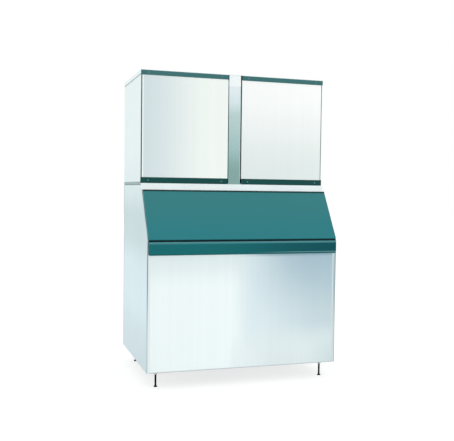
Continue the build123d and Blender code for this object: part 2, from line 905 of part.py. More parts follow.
def head_lid():
    """The top cover, with its rim turned down and a gap at the centre post."""
    outline = rectangle((-HALF, HALF), (FRONT_PLANE, BACK))
    lid = Pos(0, 0, LID_TOP) * pan(outline, LID_TOP - LID_FOOT, bend=SKIN)
    notch_y = (FRONT_PLANE - SKIN, FRONT_PLANE + 2 * SKIN)
    return lid - block((-POST_GAP / 2, POST_GAP / 2), notch_y, (0, LID_TOP - SKIN))


def drop_opening(grow=0.0):
    """The opening in the head's floor through which the ice falls, in plan."""
    x = (-INSIDE_HALF + DROP_SIDE - grow, -DROP_SIDE + grow)
    y = (FRONT_PLANE + DROP_FRONT - grow, BACK - DROP_BACK + grow)
    return rectangle(x, y)


def base_pan():
    """The head's floor, with its rim and the drop opening's rim turned up."""
    outline = rectangle((-HEAD_HALF, HEAD_HALF), (FRONT_PLANE, BACK))
    hollow = extrude(offset(outline, -SKIN, kind=Kind.INTERSECTION), WALL)
    floor = extrude(outline, BASE_TOP - BASE_FOOT) - Pos(0, 0, SKIN) * hollow
    lip_half = HEAD_HALF - HEAD_FLANGE - SKIN
    lip_y = (FRONT_PLANE, FRONT_PLANE + SKIN)
    lip = block((-lip_half, lip_half), lip_y, (0, JOINT_Z + BASE_FRONT_UP - BASE_FOOT))
    notch_y = (FRONT_PLANE - SKIN, FRONT_PLANE + SKIN)
    notch = block((-POST_GAP / 2, POST_GAP / 2), notch_y, (BASE_BELOW + SKIN, WALL))
    rim = extrude(drop_opening(SKIN), DROP_RIM) - extrude(drop_opening(), WALL)
    opening = extrude(drop_opening(), WALL)
    return Pos(0, 0, BASE_FOOT) * (floor + lip - notch - opening + rim)


def front_panel():
    """The right front panel of the head: a flat sheet with its edges turned in."""
    x = (POST_GAP / 2, HEAD_HALF - HEAD_FLANGE - PANEL_SIDE_GAP)
    z = (JOINT_Z + BASE_FRONT_UP + JOINT_GAP, LID_FOOT - JOINT_GAP)
    return facing_front(FRONT_PLANE) * pan(rectangle(x, z), PANEL_RETURN, bend=SKIN)


def trim(foot_z, tall):
    """A trim strip over a front panel's edge, on the right half."""
    strip = rectangle((POST_GAP / 2, HALF), (foot_z, foot_z + tall))
    strip = extrude(facing_front(FRONT_PLANE) * strip, TRIM_THICK)
    strip = fillet(strip.faces().sort_by(Axis.Y)[0].edges(), TRIM_ROUND)
    z = foot_z + tall / 2
    holes = [rod(SCREW_R, (x, BACK, z), (x, BIN_FRONT, z)) for x in screw_x()]
    return strip - holes


def screw_x():
    """The two screws of a strip on the right half."""
    return POST_GAP / 2 + SCREW_INNER_INSET, HALF - SCREW_OUTER_INSET


def trim_screw(x, z):
    """A dome-headed screw, through a strip onto the sheet behind it."""
    top_r = SCREW_HEAD_R * SCREW_DOME_SHARE
    dome = [(0, 0), (SCREW_HEAD_R, 0), (top_r, SCREW_HEAD_TALL), (0, SCREW_HEAD_TALL)]
    head = revolve(Plane.XZ * make_face(Polyline(*dome, close=True)), Axis.Z)
    head = facing_front(HEAD_FRONT) * head
    return Pos(x, 0, z) * head + rod(SCREW_R, (x, HEAD_FRONT, z), (x, FRONT_PLANE, z))


def centre_post():
    """The channel between the two front panels."""
    y, half = FRONT_PLANE + POST_RECESS, POST_WIDE / 2
    outer = block((-half, half), (y, y + POST_DEEP), (JOINT_Z, LID_TOP - SKIN))
    outer = fillet(outer.edges().filter_by(Axis.Z).sort_by(Axis.Y)[:2], BEND)
    inner_y = (y + SKIN, y + 2 * POST_DEEP)
    return outer - block((-half + SKIN, half - SKIN), inner_y, (JOINT_Z - SKIN, LID_TOP))


def partition():
    """The wall between the ice-making and the refrigeration sections."""
    y_range = (FRONT_PLANE + POST_RECESS + POST_DEEP + JOINT_GAP, BACK - PANEL_RETURN)
    wall = block((-SKIN / 2, SKIN / 2), y_range, (CHAMBER_FLOOR, LID_TOP - 2 * SKIN))
    fold_z = (CHAMBER_FLOOR, CHAMBER_FLOOR + SKIN)
    holes = [
        rod(LINE_R + LINE_HOLE_AIR, (-WALL, y, z), (WALL, y, z))
        for y, z in (suction_hole(), liquid_hole())
    ]
    return wall + block((-SKIN / 2, PANEL_RETURN), y_range, fold_z) - holes


# Ice-making section
def evaporator_size():
    """The width and height of one freezing plate."""
    wide = CELL_COLUMNS * CELL_PITCH + 2 * EVAPORATOR_RIM
    tall = CELL_ROWS * CELL_PITCH + 2 * EVAPORATOR_RIM
    return wide, tall


def evaporator_middle():
    """The middle of the pair of freezing plates, in X and Y."""
    x = -(FLOAT_ROOM + VALVE_END + evaporator_size()[0] / 2)
    return x, BACK - EVAPORATOR_CENTRE_BACK


def evaporator_foot():
    """The bottom of the freezing plates."""
    return BASE_TOP + EVAPORATOR_FOOT_UP


def evaporator():
    """The front freezing plate: a grid of open cells that lean down and out."""
    wide, tall = evaporator_size()
    x, y = evaporator_middle()
    foot = evaporator_foot()
    back = y - COIL_TUBE_R
    front = back - EVAPORATOR_BACK - CELL_DEEP
    tilt = radians(CELL_TILT)
    size = CELL_PITCH - CELL_WALL
    low_x = x - wide / 2 + EVAPORATOR_RIM + CELL_PITCH / 2
    low_z = foot + EVAPORATOR_RIM + CELL_PITCH / 2 - CELL_DEEP * sin(tilt) / 2
    mouths = [
        Pos(low_x + CELL_PITCH * column, low_z + CELL_PITCH * row) * Rectangle(size, size)
        for row in range(CELL_ROWS)
        for column in range(CELL_COLUMNS)
    ]
    reach = CELL_DEEP / cos(tilt) - CELL_END
    lean = (0, cos(tilt), sin(tilt))
    cells = [extrude(facing_front(front) * mouth, reach, dir=lean) for mouth in mouths]
    return block((x - wide / 2, x + wide / 2), (front, back), (foot, foot + tall)) - cells


def evaporator_coil():
    """The refrigerant tube that winds up between the two freezing plates."""
    wide, tall = evaporator_size()
    x, y = evaporator_middle()
    half = wide / 2 - COIL_IN
    step = (tall - 2 * COIL_IN) / (COIL_ROWS - 1)
    heights = [evaporator_foot() + COIL_IN + step * row for row in range(COIL_ROWS)]
    points = []
    for row, z in enumerate(heights):
        ends = (half, -half) if row % 2 == 0 else (-half, half)
        points += [(x + end, y, z) for end in ends]
    points[0] = (coil_end_x(), y, heights[0])
    points[-1] = (coil_end_x(), y, heights[-1])
    return tube_run(points, COIL_TUBE_R - COIL_PLAY, step * COIL_BEND_SHARE)


def curtain_line():
    """The hinge line of the front curtain, in Y and Z."""
    y = evaporator_middle()[1] - COIL_TUBE_R - EVAPORATOR_BACK - CELL_DEEP - CURTAIN_AIR
    return y, evaporator_foot() + evaporator_size()[1] + CURTAIN_EYE_R


def curtain_half():
    """Half the width of a curtain."""
    return evaporator_size()[0] / 2 + CURTAIN_OVER


def curtain():
    """The front curtain: a hanging sheet with a rolled eye along its top edge."""
    x, half = evaporator_middle()[0], curtain_half()
    y, z = curtain_line()
    foot = evaporator_foot() - CURTAIN_BELOW
    front, back = y - CURTAIN_THICK / 2, y + CURTAIN_THICK / 2
    outline = [
        (front, z),
        (front, foot + 2 * CURTAIN_KICK),
        (front + CURTAIN_KICK, foot),
        (back + CURTAIN_KICK, foot),
        (back, foot + 2 * CURTAIN_KICK),
        (back, z),
    ]
    sheet = Pos(x, 0, 0) * side_prism(outline, half)
    roll = rod(CURTAIN_EYE_R, (x - half, y, z), (x + half, y, z))
    return sheet + roll - rod(CURTAIN_PIN_R + CURTAIN_PIN_PLAY, (x - HALF, y, z), (x + HALF, y, z))


def curtain_hangers():
    """The two brackets on the plates' ends, with the pins that the curtains hang on."""
    x, mid_y = evaporator_middle()
    y, z = curtain_line()
    rear_y = 2 * mid_y - y
    edge = CURTAIN_EYE_R + HANGER_EDGE
    inner = x + curtain_half() + HANGER_AIR
    reach = x + curtain_half() - CURTAIN_PIN_IN
    plate = block((inner, inner + HANGER_THICK), (y - edge, rear_y + edge), (z - 2 * edge, z + edge))
    pins = [rod(CURTAIN_PIN_R, (inner, pin, z), (reach, pin, z)) for pin in (y, rear_y)]
    hanger = plate + pins
    return Compound(children=[hanger, mirror(hanger, about=Plane.YZ.offset(x))])


def trough_span():
    """The water trough's ends in X, and its top."""
    x = evaporator_middle()[0]
    half = evaporator_size()[0] / 2
    return (x - half - PUMP_END, x + half + VALVE_END), evaporator_foot() - TROUGH_AIR


def water_trough():
    """The moulded trough under the plates."""
    ends, top = trough_span()
    y = evaporator_middle()[1]
    outline = rectangle(ends, (y - TROUGH_WIDE / 2, y + TROUGH_WIDE / 2))
    outline = fillet(outline.vertices(), TROUGH_CORNER)
    tub = extrude(outline, -TROUGH_TALL, taper=TROUGH_DRAFT)
    inner = offset(outline, -TROUGH_WALL)
    hollow = extrude(inner, -(TROUGH_TALL - TROUGH_WALL), taper=TROUGH_DRAFT)
    return Pos(0, 0, top) * (tub - hollow)


def pump_place():
    """The pump's axis in X and Y."""
    (low, _), _ = trough_span()
    return low + PUMP_END / 2, evaporator_middle()[1]


def water_pump():
    """The pump's motor can on the plate that lies across the trough's end."""
    x, y = pump_place()
    (low, _), top = trough_span()
    can_foot = top + PUMP_PLATE
    plate_x = (low, low + PUMP_END - PUMP_PLATE_GAP)
    plate_y = (y - TROUGH_WIDE / 2, y + TROUGH_WIDE / 2)
    plate = block(plate_x, plate_y, (top, can_foot))
    can = rod(PUMP_R, (x, y, can_foot), (x, y, can_foot + PUMP_TALL))
    can = fillet(can.faces().sort_by(Axis.Z)[-1].edges(), PUMP_ROUND)
    tail = rod(PUMP_TAIL_R, (x, y, top - PUMP_TAIL_LONG), (x, y, top))
    bore = rod(SHAFT_R + SHAFT_PLAY, (x, y, top - WALL), (x, y, top + PUMP_TALL / 2))
    return plate + can + tail - bore


def pump_rotor():
    """The pump's shaft and impeller."""
    x, y = pump_place()
    top = trough_span()[1]
    foot = top - TROUGH_TALL + TROUGH_WALL + IMPELLER_UP
    shaft_top = top + PUMP_TALL / 2 - SHAFT_END_AIR
    disc_top = foot + IMPELLER_DISC
    shaft = rod(SHAFT_R, (x, y, foot), (x, y, shaft_top))
    disc = rod(IMPELLER_R, (x, y, foot), (x, y, disc_top))
    vane = block((0, IMPELLER_R), (-VANE_THICK / 2, VANE_THICK / 2), (0, IMPELLER_TALL - IMPELLER_DISC))
    turns = [360 / IMPELLER_VANES * index for index in range(IMPELLER_VANES)]
    vanes = [Pos(x, y, disc_top) * Rot(0, 0, turn) * vane for turn in turns]
    return (shaft + disc + vanes) & rod(IMPELLER_R, (x, y, foot), (x, y, shaft_top))


def spray_tube():
    """The front plate's water tube along its top, with its outlet holes."""
    wide, tall = evaporator_size()
    x, mid_y = evaporator_middle()
    y = mid_y - COIL_TUBE_R - SPRAY_TUBE_R - EVAPORATOR_BACK
    z = evaporator_foot() + tall + SPRAY_TUBE_R
    end = wide / 2 - SPRAY_END
    tube = rod(SPRAY_TUBE_R, (x - wide / 2, y, z), (x + wide / 2, y, z))
    tube -= rod(SPRAY_TUBE_R - SPRAY_WALL, (x - end, y, z), (x + end, y, z))
    middle = (CELL_COLUMNS - 1) / 2
    places = [x + CELL_PITCH * (column - middle) for column in range(0, CELL_COLUMNS, 2)]
    hole = Rot(90, 0, 0) * Cylinder(SPRAY_HOLE_R, SPRAY_TUBE_R)
    return tube - [Pos(place, y - SPRAY_TUBE_R, z) * hole for place in places]


def float_pivot():
    """The float arm's hinge line in X and Z, over the trough's right end."""
    (_, high), top = trough_span()
    return high + PIVOT_IN, top + PIVOT_UP


def float_valve():
    """The water valve on the partition, with a fork for the float arm."""
    x, z = float_pivot()
    y = evaporator_middle()[1]
    body = rod(VALVE_R, (x + FORK_BACK - JOINT_GAP, y, z), (-SKIN / 2, y, z))
    inner = FLOAT_EYE_WIDE / 2 + FORK_AIR
    outer = inner + FORK_THICK
    ear_x, ear_z = (x - FORK_FRONT, x + FORK_BACK), (z - FORK_HALF, z + FORK_HALF)
    ears = [block(ear_x, span, ear_z) for span in ((y - outer, y - inner), (y + inner, y + outer))]
    return body + ears + rod(FLOAT_PIN_R, (x, y - outer, z), (x, y + outer, z))


def float_arm():
    """The arm and float that ride on the water in the trough."""
    x, z = float_pivot()
    y = evaporator_middle()[1]
    half = FLOAT_EYE_WIDE / 2
    eye = rod(FLOAT_EYE_R, (x, y - half, z), (x, y + half, z))
    knee = (x - FLOAT_ARM, y, z)
    ball = (x - FLOAT_ARM, y, z - FLOAT_R - FLOAT_DROP)
    start = (x - FLOAT_EYE_R + FLOAT_ROD_R, y, z)
    arm = tube_run([start, knee, ball], FLOAT_ROD_R, 4 * FLOAT_ROD_R)
    bore = rod(FLOAT_PIN_R + FLOAT_PIN_PLAY, (x, y - FLOAT_R, z), (x, y + FLOAT_R, z))
    return eye + arm + Pos(*ball) * Sphere(FLOAT_R) - bore


# Refrigeration section
def compressor_place():
    """The compressor's axis in X and Y."""
    return COMPRESSOR_X, BACK - COMPRESSOR_BACK


def grommet_places():
    """The compressor's four rubber mounts in plan."""
    x, y = compressor_place()
    return [(x + side * MOUNT_REACH, y + end * MOUNT_REACH) for side in (-1, 1) for end in (-1, 1)]


def compressor_foot():
    """The height of the compressor's foot plate."""
    return CHAMBER_FLOOR + GROMMET_TALL


def compressor():
    """The welded compressor can on its foot plate."""
    x, y = compressor_place()
    profile = [
        (0, 0),
        (COMPRESSOR_FOOT_R, 0),
        (COMPRESSOR_R, COMPRESSOR_R - COMPRESSOR_FOOT_R),
        (COMPRESSOR_R, COMPRESSOR_TALL),
        (0, COMPRESSOR_TALL),
    ]
    can = revolve(Plane.XZ * make_face(Polyline(*profile, close=True)), Axis.Z)
    can = fillet(can.edges().sort_by(Axis.Z)[-1], COMPRESSOR_DOME_R)
    seam = Pos(0, 0, COMPRESSOR_TALL / 2) * Cylinder(COMPRESSOR_R + SEAM_PROUD, SEAM_TALL)
    reach = MOUNT_REACH + GROMMET_R
    plate = block((-reach, reach), (-reach, reach), (0, COMPRESSOR_PLATE))
    return Pos(x, y, compressor_foot()) * (can + seam + plate)


def grommets():
    """The rubber mounts under the compressor."""
    foot, top = CHAMBER_FLOOR, compressor_foot()
    mounts = [rod(GROMMET_R, (x, y, foot), (x, y, top)) for x, y in grommet_places()]
    return Compound(children=mounts)


def condenser_box():
    """The condenser's ends in X, Y and Z."""
    high_x = INSIDE_HALF - LOUVRE_DEEP - CONDENSER_AIR
    y = (BACK - CONDENSER_SIDE - CONDENSER_LONG, BACK - CONDENSER_SIDE)
    z = (CHAMBER_FLOOR + CONDENSER_UP, CHAMBER_FLOOR + CONDENSER_UP + CONDENSER_TALL)
    return (high_x - CONDENSER_DEEP, high_x), y, z


def condenser_middle():
    """The middle of the condenser's depth, where its tubes run."""
    x, _, _ = condenser_box()
    return (x[0] + x[1]) / 2


def condenser_rows():
    """The heights of the condenser's tubes, from the lowest up."""
    _, _, (foot, top) = condenser_box()
    pitch = (top - foot) / CONDENSER_TUBES
    return [foot + pitch * (row + 0.5) for row in range(CONDENSER_TUBES)]


def condenser():
    """The condenser: upright fins on level tubes between two end plates."""
    x, y, z = condenser_box()
    pitch = (y[1] - y[0] - FIN_THICK) / FIN_COUNT
    starts = [y[0] + pitch * index for index in range(FIN_COUNT + 1)]
    fins = [block(x, (start, start + FIN_THICK), z) for start in starts]
    middle = condenser_middle()
    tubes = [
        rod(CONDENSER_TUBE_R, (middle, y[0], row), (middle, y[1], row)) for row in condenser_rows()
    ]
    return fins[0] + fins[1:] + tubes


def fan_middle():
    """The fan's middle in Y and Z."""
    _, y, z = condenser_box()
    return (y[0] + y[1]) / 2, (z[0] + z[1]) / 2


def fan_shroud():
    """The sheet housing that leads the condenser's air to the fan."""
    x, y, z = condenser_box()
    plane = fan_plane()
    inner_y, inner_z = [(low + SHROUD_WALL, high - SHROUD_WALL) for low, high in (y, z)]
    hollow = block((plane + SHROUD_WALL, x[0] + SHROUD_WALL), inner_y, inner_z)
    mid_y, mid_z = fan_middle()
    hole = rod(FAN_R + FAN_TIP_AIR, (plane - SHROUD_WALL, mid_y, mid_z), (x[0], mid_y, mid_z))
    return block((plane, x[0]), y, z) - hollow - hole


def fan_plane():
    """The plane of the shroud's front and of the fan, in X."""
    x, _, _ = condenser_box()
    return x[0] - SHROUD_DEEP


def fan():
    """The fan: a hub with twisted blades."""
    mid_y, mid_z = fan_middle()
    half = FAN_HUB_DEEP / 2
    root = Rot(0, 0, FAN_ROOT_PITCH) * Rectangle(FAN_BLADE_THICK, FAN_ROOT_WIDE)
    tip = Rot(0, 0, FAN_TIP_PITCH) * Rectangle(FAN_BLADE_THICK, FAN_TIP_WIDE)
    blank = loft([Pos(0, 0, FAN_HUB_R - FAN_BLADE_THICK) * root, Pos(0, 0, FAN_R + FAN_TIP_AIR) * tip])
    blade = blank & rod(FAN_R, (-FAN_R, 0, 0), (FAN_R, 0, 0))
    turns = [360 / FAN_BLADES * index for index in range(FAN_BLADES)]
    hub = rod(FAN_HUB_R, (-half, 0, 0), (half, 0, 0))
    bore = rod(SHAFT_R + SHAFT_PLAY, (-FAN_HUB_DEEP, 0, 0), (half - FAN_HUB_END, 0, 0))
    wheel = hub + [Rot(turn, 0, 0) * blade for turn in turns] - bore
    return Pos(fan_plane(), mid_y, mid_z) * wheel


def fan_motor():
    """The fan's motor, its shaft and the arms that hold it to the shroud."""
    mid_y, mid_z = fan_middle()
    plane = fan_plane()
    half_hub = FAN_HUB_DEEP / 2
    face = plane - half_hub - FAN_MOTOR_AIR
    rear = face - FAN_MOTOR_LONG
    can = rod(FAN_MOTOR_R, (rear, mid_y, mid_z), (face, mid_y, mid_z))
    can = fillet(can.edges(), FAN_MOTOR_ROUND)
    shaft_end = plane + half_hub - FAN_HUB_END - SHAFT_END_AIR
    shaft = rod(SHAFT_R, (face, mid_y, mid_z), (shaft_end, mid_y, mid_z))
    rear_plate = rod(FAN_PLATE_R, (rear - FAN_PLATE_THICK, mid_y, mid_z), (rear, mid_y, mid_z))
    arm_x = rear - FAN_PLATE_THICK / 2
    reach = FAN_R + FAN_TIP_AIR + FAN_ARM_OVER
    arms = []
    for side in (-1, 1):
        start = (arm_x, mid_y, mid_z + side * FAN_ARM_IN)
        knee = (arm_x, mid_y, mid_z + side * reach)
        end = (plane, mid_y, mid_z + side * reach)
        arms.append(tube_run([start, knee, end], FAN_ARM_R, FAN_ARM_BEND))
    return can + shaft + rear_plate + arms


def drier_place():
    """The filter drier's axis in X and Y, and its lower end."""
    x = SKIN / 2 + DRIER_R + DRIER_AIR
    return x, compressor_place()[1] + DRIER_BEHIND, CHAMBER_FLOOR + DRIER_UP


def filter_drier():
    """The filter drier, a spun can that stands beside the partition."""
    cone_foot = DRIER_NECK_LONG
    can_foot = cone_foot + DRIER_CONE
    can_top = can_foot + DRIER_LONG
    cone_top = can_top + DRIER_CONE
    top = cone_top + DRIER_NECK_LONG
    profile = [
        (0, 0),
        (DRIER_NECK_R, 0),
        (DRIER_NECK_R, cone_foot),
        (DRIER_R, can_foot),
        (DRIER_R, can_top),
        (DRIER_NECK_R, cone_top),
        (DRIER_NECK_R, top),
        (0, top),
    ]
    can = revolve(Plane.XZ * make_face(Polyline(*profile, close=True)), Axis.Z)
    return Pos(*drier_place()) * can


def suction_hole():
    """Where the suction line goes through the partition, in Y and Z."""
    return evaporator_middle()[1], evaporator_foot() + evaporator_size()[1] - COIL_IN


def liquid_hole():
    """Where the liquid line goes through the partition, in Y and Z."""
    return evaporator_middle()[1], evaporator_foot() + COIL_IN


def coil_end_x():
    """The right end of the evaporator's tube."""
    return evaporator_middle()[0] + evaporator_size()[0] / 2 + COIL_END


def suction_line():
    """The line from the evaporator back to the compressor."""
    y, z = suction_hole()
    x, comp_y = compressor_place()
    port_z = compressor_foot() + SUCTION_UP
    left, front = x - SUCTION_SIDE, comp_y - COMPRESSOR_R - SUCTION_SIDE
    points = [
        (coil_end_x(), y, z),
        (left, y, z),
        (left, front, z),
        (left, front, port_z),
        (x, front, port_z),
        (x, comp_y - COMPRESSOR_R + LINE_R, port_z),
    ]
    return tube_run(points, LINE_R, LINE_BEND) - compressor()


def liquid_line():
    """The line from the filter drier to the evaporator."""
    y, z = liquid_hole()
    drier_x, drier_y, drier_foot = drier_place()
    turn_z = drier_foot - LIQUID_DROP
    points = [
        (coil_end_x(), y, z),
        (drier_x, y, z),
        (drier_x, y, turn_z),
        (drier_x, drier_y, turn_z),
        (drier_x, drier_y, drier_foot),
    ]
    return tube_run(points, THIN_LINE_R, THIN_LINE_BEND)


def hot_line():
    """The line from the compressor to the condenser's top tube."""
    x, y = compressor_place()
    _, box_y, _ = condenser_box()
    middle, row = condenser_middle(), condenser_rows()[-1]
    dome = compressor_foot() + COMPRESSOR_TALL
    front = box_y[0] - HOT_FRONT
    points = [
        (x, y, dome - COMPRESSOR_PLATE),
        (x, y, row),
        (x, front, row),
        (middle, front, row),
        (middle, box_y[0], row),
    ]
    return tube_run(points, THIN_LINE_R, LINE_BEND) - compressor()


def box_span():
    """The control box's ends in X, Y and Z."""
    x = SKIN / 2 + POST_WIDE / 2 + BOX_AIR
    y = FRONT_PLANE + PANEL_RETURN + BOX_AIR
    top = LID_FOOT - BOX_UNDER_LID
    return (x, x + BOX_WIDE), (y, y + BOX_DEEP), (top - BOX_TALL, top)


def control_box():
    """The control box behind the right front panel, with its switch's slot."""
    x, y, z = box_span()
    case = fillet(block(x, y, z).edges().filter_by(Axis.Y), BOX_ROUND)
    case -= block(*[(low + BOX_WALL, high - BOX_WALL) for low, high in (x, y, z)])
    tx, tz = toggle_place()
    slot_x = (tx - SLOT_WIDE / 2, tx + SLOT_WIDE / 2)
    slot_z = (tz - SLOT_TALL / 2, tz + SLOT_TALL / 2)
    case -= block(slot_x, (y[0] - BOX_WALL, y[0] + 2 * BOX_WALL), slot_z)
    hanger_y = (y[0] + BOX_HANGER_SIDE, y[1] - BOX_HANGER_SIDE)
    hanger_x = [
        (middle - BOX_HANGER_WIDE / 2, middle + BOX_HANGER_WIDE / 2)
        for middle in (x[0] + BOX_HANGER_IN, x[1] - BOX_HANGER_IN)
    ]
    return case + [block(span, hanger_y, (z[1], LID_TOP - SKIN)) for span in hanger_x]


def toggle_place():
    """The switch lever's middle on the control box, in X and Z."""
    x, _, z = box_span()
    return x[0] + BOX_WIDE / 4, (z[0] + z[1]) / 2


def toggle_pivot():
    """The switch lever's pivot, as a point."""
    x, z = toggle_place()
    return x, box_span()[1][0] + BOX_WALL + TOGGLE_PIN_IN, z


def switch_body():
    """The switch behind the control box's slot, with the lever's pivot pin."""
    x, pivot_y, z = toggle_pivot()
    y = box_span()[1][0] + BOX_WALL
    case = block(
        (x - SWITCH_WIDE / 2, x + SWITCH_WIDE / 2),
        (y, y + SWITCH_DEEP),
        (z - SWITCH_TALL / 2, z + SWITCH_TALL / 2),
    )
    well = block(
        (x - WELL_WIDE / 2, x + WELL_WIDE / 2),
        (y - BOX_WALL, y + WELL_DEEP),
        (z - WELL_TALL / 2, z + WELL_TALL / 2),
    )
    pin_x = (x - WELL_WIDE / 2 - TOGGLE_PIN_R, x + WELL_WIDE / 2 + TOGGLE_PIN_R)
    return case - well + rod(TOGGLE_PIN_R, (pin_x[0], pivot_y, z), (pin_x[1], pivot_y, z))


def switch_lever():
    """The switch's lever."""
    x, y, z = toggle_pivot()
    tip_y = y - TOGGLE_PIN_IN - TOGGLE_LONG
    eye = rod(TOGGLE_EYE_R, (x - TOGGLE_EYE_R, y, z), (x + TOGGLE_EYE_R, y, z))
    stick = rod(TOGGLE_R, (x, y, z), (x, tip_y, z))
    bore_r = TOGGLE_PIN_R + TOGGLE_PIN_PLAY
    bore = rod(bore_r, (x - WELL_WIDE, y, z), (x + WELL_WIDE, y, z))
    return eye + stick + Pos(x, tip_y, z) * Sphere(TOGGLE_R) - bore


def other_side(shape):
    """The same piece on the left."""
    return mirror(shape, about=Plane.YZ)


def both_sides(shape):
    """A right-hand piece and its left-hand twin, as two solids."""
    return Compound(children=[shape, other_side(shape)])


def rear_of_pair(shape):
    """The same piece behind the pair of freezing plates."""
    y = evaporator_middle()[1]
    return mirror(shape, about=Plane.XZ.offset(-y))


def build_bin():
    """The storage bin, its feet and the fixed half of its hinge."""
    parts["bin_right_panel"] = bin_side_panel()
    parts["bin_left_panel"] = other_side(parts["bin_right_panel"])
    parts["bin_front_panel"] = front_sheet()
    parts["bin_back_panel"] = back_sheet()
    parts["bin_mouth_frame"] = mouth_sheet()
    parts["bin_base_panel"] = base_sheet()
    parts["bin_insulation"] = bin_foam()
    parts["bin_liner"] = bin_liner()
    parts["bin_drain_fitting"] = drain_fitting()
    parts["bin_front_rail"] = front_rail()
    parts["bin_thermostat_bulb"] = bulb_holder()
    parts["head_seal"] = head_seal()
    for name, (x, y) in foot_places().items():
        parts[f"foot_{name}"] = foot(x, y)
    parts["door_hinge_fixed_leaf"] = fixed_leaf()
    parts["door_hinge_pin"] = hinge_bar(HINGE_PIN_R, (-DOOR_HALF, DOOR_HALF))


def build_door():
    """The bin's door."""
    parts["door_outer_panel"] = door_panel()
    parts["door_inner_liner"] = door_liner()
    parts["door_insulation"] = door_foam()
    parts["door_gasket"] = door_gasket()
    parts["door_handle_strip"] = handle_strip()
    parts["door_hinge_moving_leaf"] = door_leaf()


def build_head_case():
    """The head's sheets, trims and service fittings."""
    parts["head_base_pan"] = base_pan()
    parts["head_left_side"] = other_side(head_side())
    parts["head_right_side"] = right_side()
    parts["head_back_panel"] = head_back()
    parts["head_top_cover"] = head_lid()
    parts["head_centre_post"] = centre_post()
    parts["head_partition"] = partition()
    parts["head_front_panel_right"] = front_panel()
    parts["head_front_panel_left"] = other_side(parts["head_front_panel_right"])
    top_z, foot_z = TRIM_TOP - TOP_TRIM_TALL, JOINT_Z - FOOT_TRIM_DROP
    parts["top_trims"] = both_sides(trim(top_z, TOP_TRIM_TALL))
    parts["bottom_trims"] = both_sides(trim(foot_z, FOOT_TRIM_TALL))
    rows = (top_z + TOP_TRIM_TALL / 2, JOINT_Z + FOOT_TRIM_TALL / 2 - FOOT_TRIM_DROP)
    screws = [trim_screw(side * x, z) for z in rows for x in screw_x() for side in (-1, 1)]
    parts["trim_screws"] = Compound(children=screws)
    (_, inlet_x, inlet_z), (_, gland_x, gland_z) = service_holes()
    parts["water_inlet_fitting"] = service_fitting(INLET_R, INLET_WALL, (inlet_x, inlet_z))
    parts["power_cable_gland"] = service_fitting(GLAND_R, GLAND_WALL, (gland_x, gland_z))


def build_ice_maker():
    """The freezing plates, their water and their curtains."""
    parts["evaporator_front"] = evaporator()
    parts["evaporator_rear"] = rear_of_pair(parts["evaporator_front"])
    parts["evaporator_coil"] = evaporator_coil()
    parts["curtain_front"] = curtain()
    parts["curtain_rear"] = rear_of_pair(parts["curtain_front"])
    parts["curtain_hangers"] = curtain_hangers()
    parts["water_trough"] = water_trough()
    tube = spray_tube()
    parts["water_tubes"] = Compound(children=[tube, rear_of_pair(tube)])
    parts["water_pump"] = water_pump()
    parts["pump_rotor"] = pump_rotor()
    parts["float_valve"] = float_valve()
    parts["float_arm"] = float_arm()


def build_refrigeration():
    """The compressor, condenser and controls."""
    parts["compressor"] = compressor()
    parts["compressor_grommets"] = grommets()
    parts["condenser"] = condenser()
    parts["condenser_shroud"] = fan_shroud()
    parts["condenser_fan"] = fan()
    parts["fan_motor"] = fan_motor()
    parts["filter_drier"] = filter_drier()
    lines = [suction_line(), liquid_line(), hot_line()]
    parts["refrigerant_lines"] = Compound(children=lines)
    parts["control_box"] = control_box() + switch_body()
    parts["control_switch_lever"] = switch_lever()


build_bin()
build_door()
build_head_case()
build_ice_maker()
build_refrigeration()
os.makedirs("parts", exist_ok=True)
for node, shape in parts.items():
    export_step(shape, f"parts/{node}.step")
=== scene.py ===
"""The looks of the ice cube machine, in metres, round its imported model.

The front faces -Y, the floor is at Z 0 and the middle of the machine is at X 0.
"""

import json
import logging
import math
from contextlib import contextmanager
from dataclasses import dataclass, field
from enum import Enum
from itertools import product
from typing import Any, Callable, Iterator, Sequence

import bmesh
import bpy
from mathutils import Matrix, Vector


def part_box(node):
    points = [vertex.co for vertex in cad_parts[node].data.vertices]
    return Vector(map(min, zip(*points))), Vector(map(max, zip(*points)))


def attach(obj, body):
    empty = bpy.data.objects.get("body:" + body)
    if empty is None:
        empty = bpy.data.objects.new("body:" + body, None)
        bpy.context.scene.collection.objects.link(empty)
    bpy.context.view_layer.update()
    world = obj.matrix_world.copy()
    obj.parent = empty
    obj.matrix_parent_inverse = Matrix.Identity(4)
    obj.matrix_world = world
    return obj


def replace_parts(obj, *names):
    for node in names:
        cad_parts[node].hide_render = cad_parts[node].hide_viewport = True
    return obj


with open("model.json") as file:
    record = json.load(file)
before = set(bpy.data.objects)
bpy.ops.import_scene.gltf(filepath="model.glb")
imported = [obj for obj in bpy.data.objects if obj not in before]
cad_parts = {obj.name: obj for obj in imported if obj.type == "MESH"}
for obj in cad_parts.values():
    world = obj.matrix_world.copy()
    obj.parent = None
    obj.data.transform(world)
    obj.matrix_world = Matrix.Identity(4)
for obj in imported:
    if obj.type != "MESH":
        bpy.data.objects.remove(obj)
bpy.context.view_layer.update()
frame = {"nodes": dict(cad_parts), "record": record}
log = logging.getLogger("ice_machine")

Colour = tuple[float, float, float]
Place = tuple[float, float, float]
Point = tuple[float, float]

WHITE = (1.0, 1.0, 1.0)
SLOT_OF = {row["node"]: row["material_slot"] for row in frame["record"]["subparts"]}


def srgb(red: int, green: int, blue: int) -> Colour:
    """Turns a colour of 0 to 255 into the linear values that shaders use.

    Args:
        red: The red level.
        green: The green level.
        blue: The blue level.

    Returns:
        The three linear values.
    """
    levels = [level / 255 for level in (red, green, blue)]
    linear = [v / 12.92 if v <= 0.04045 else ((v + 0.055) / 1.055) ** 2.4 for v in levels]
    return linear[0], linear[1], linear[2]


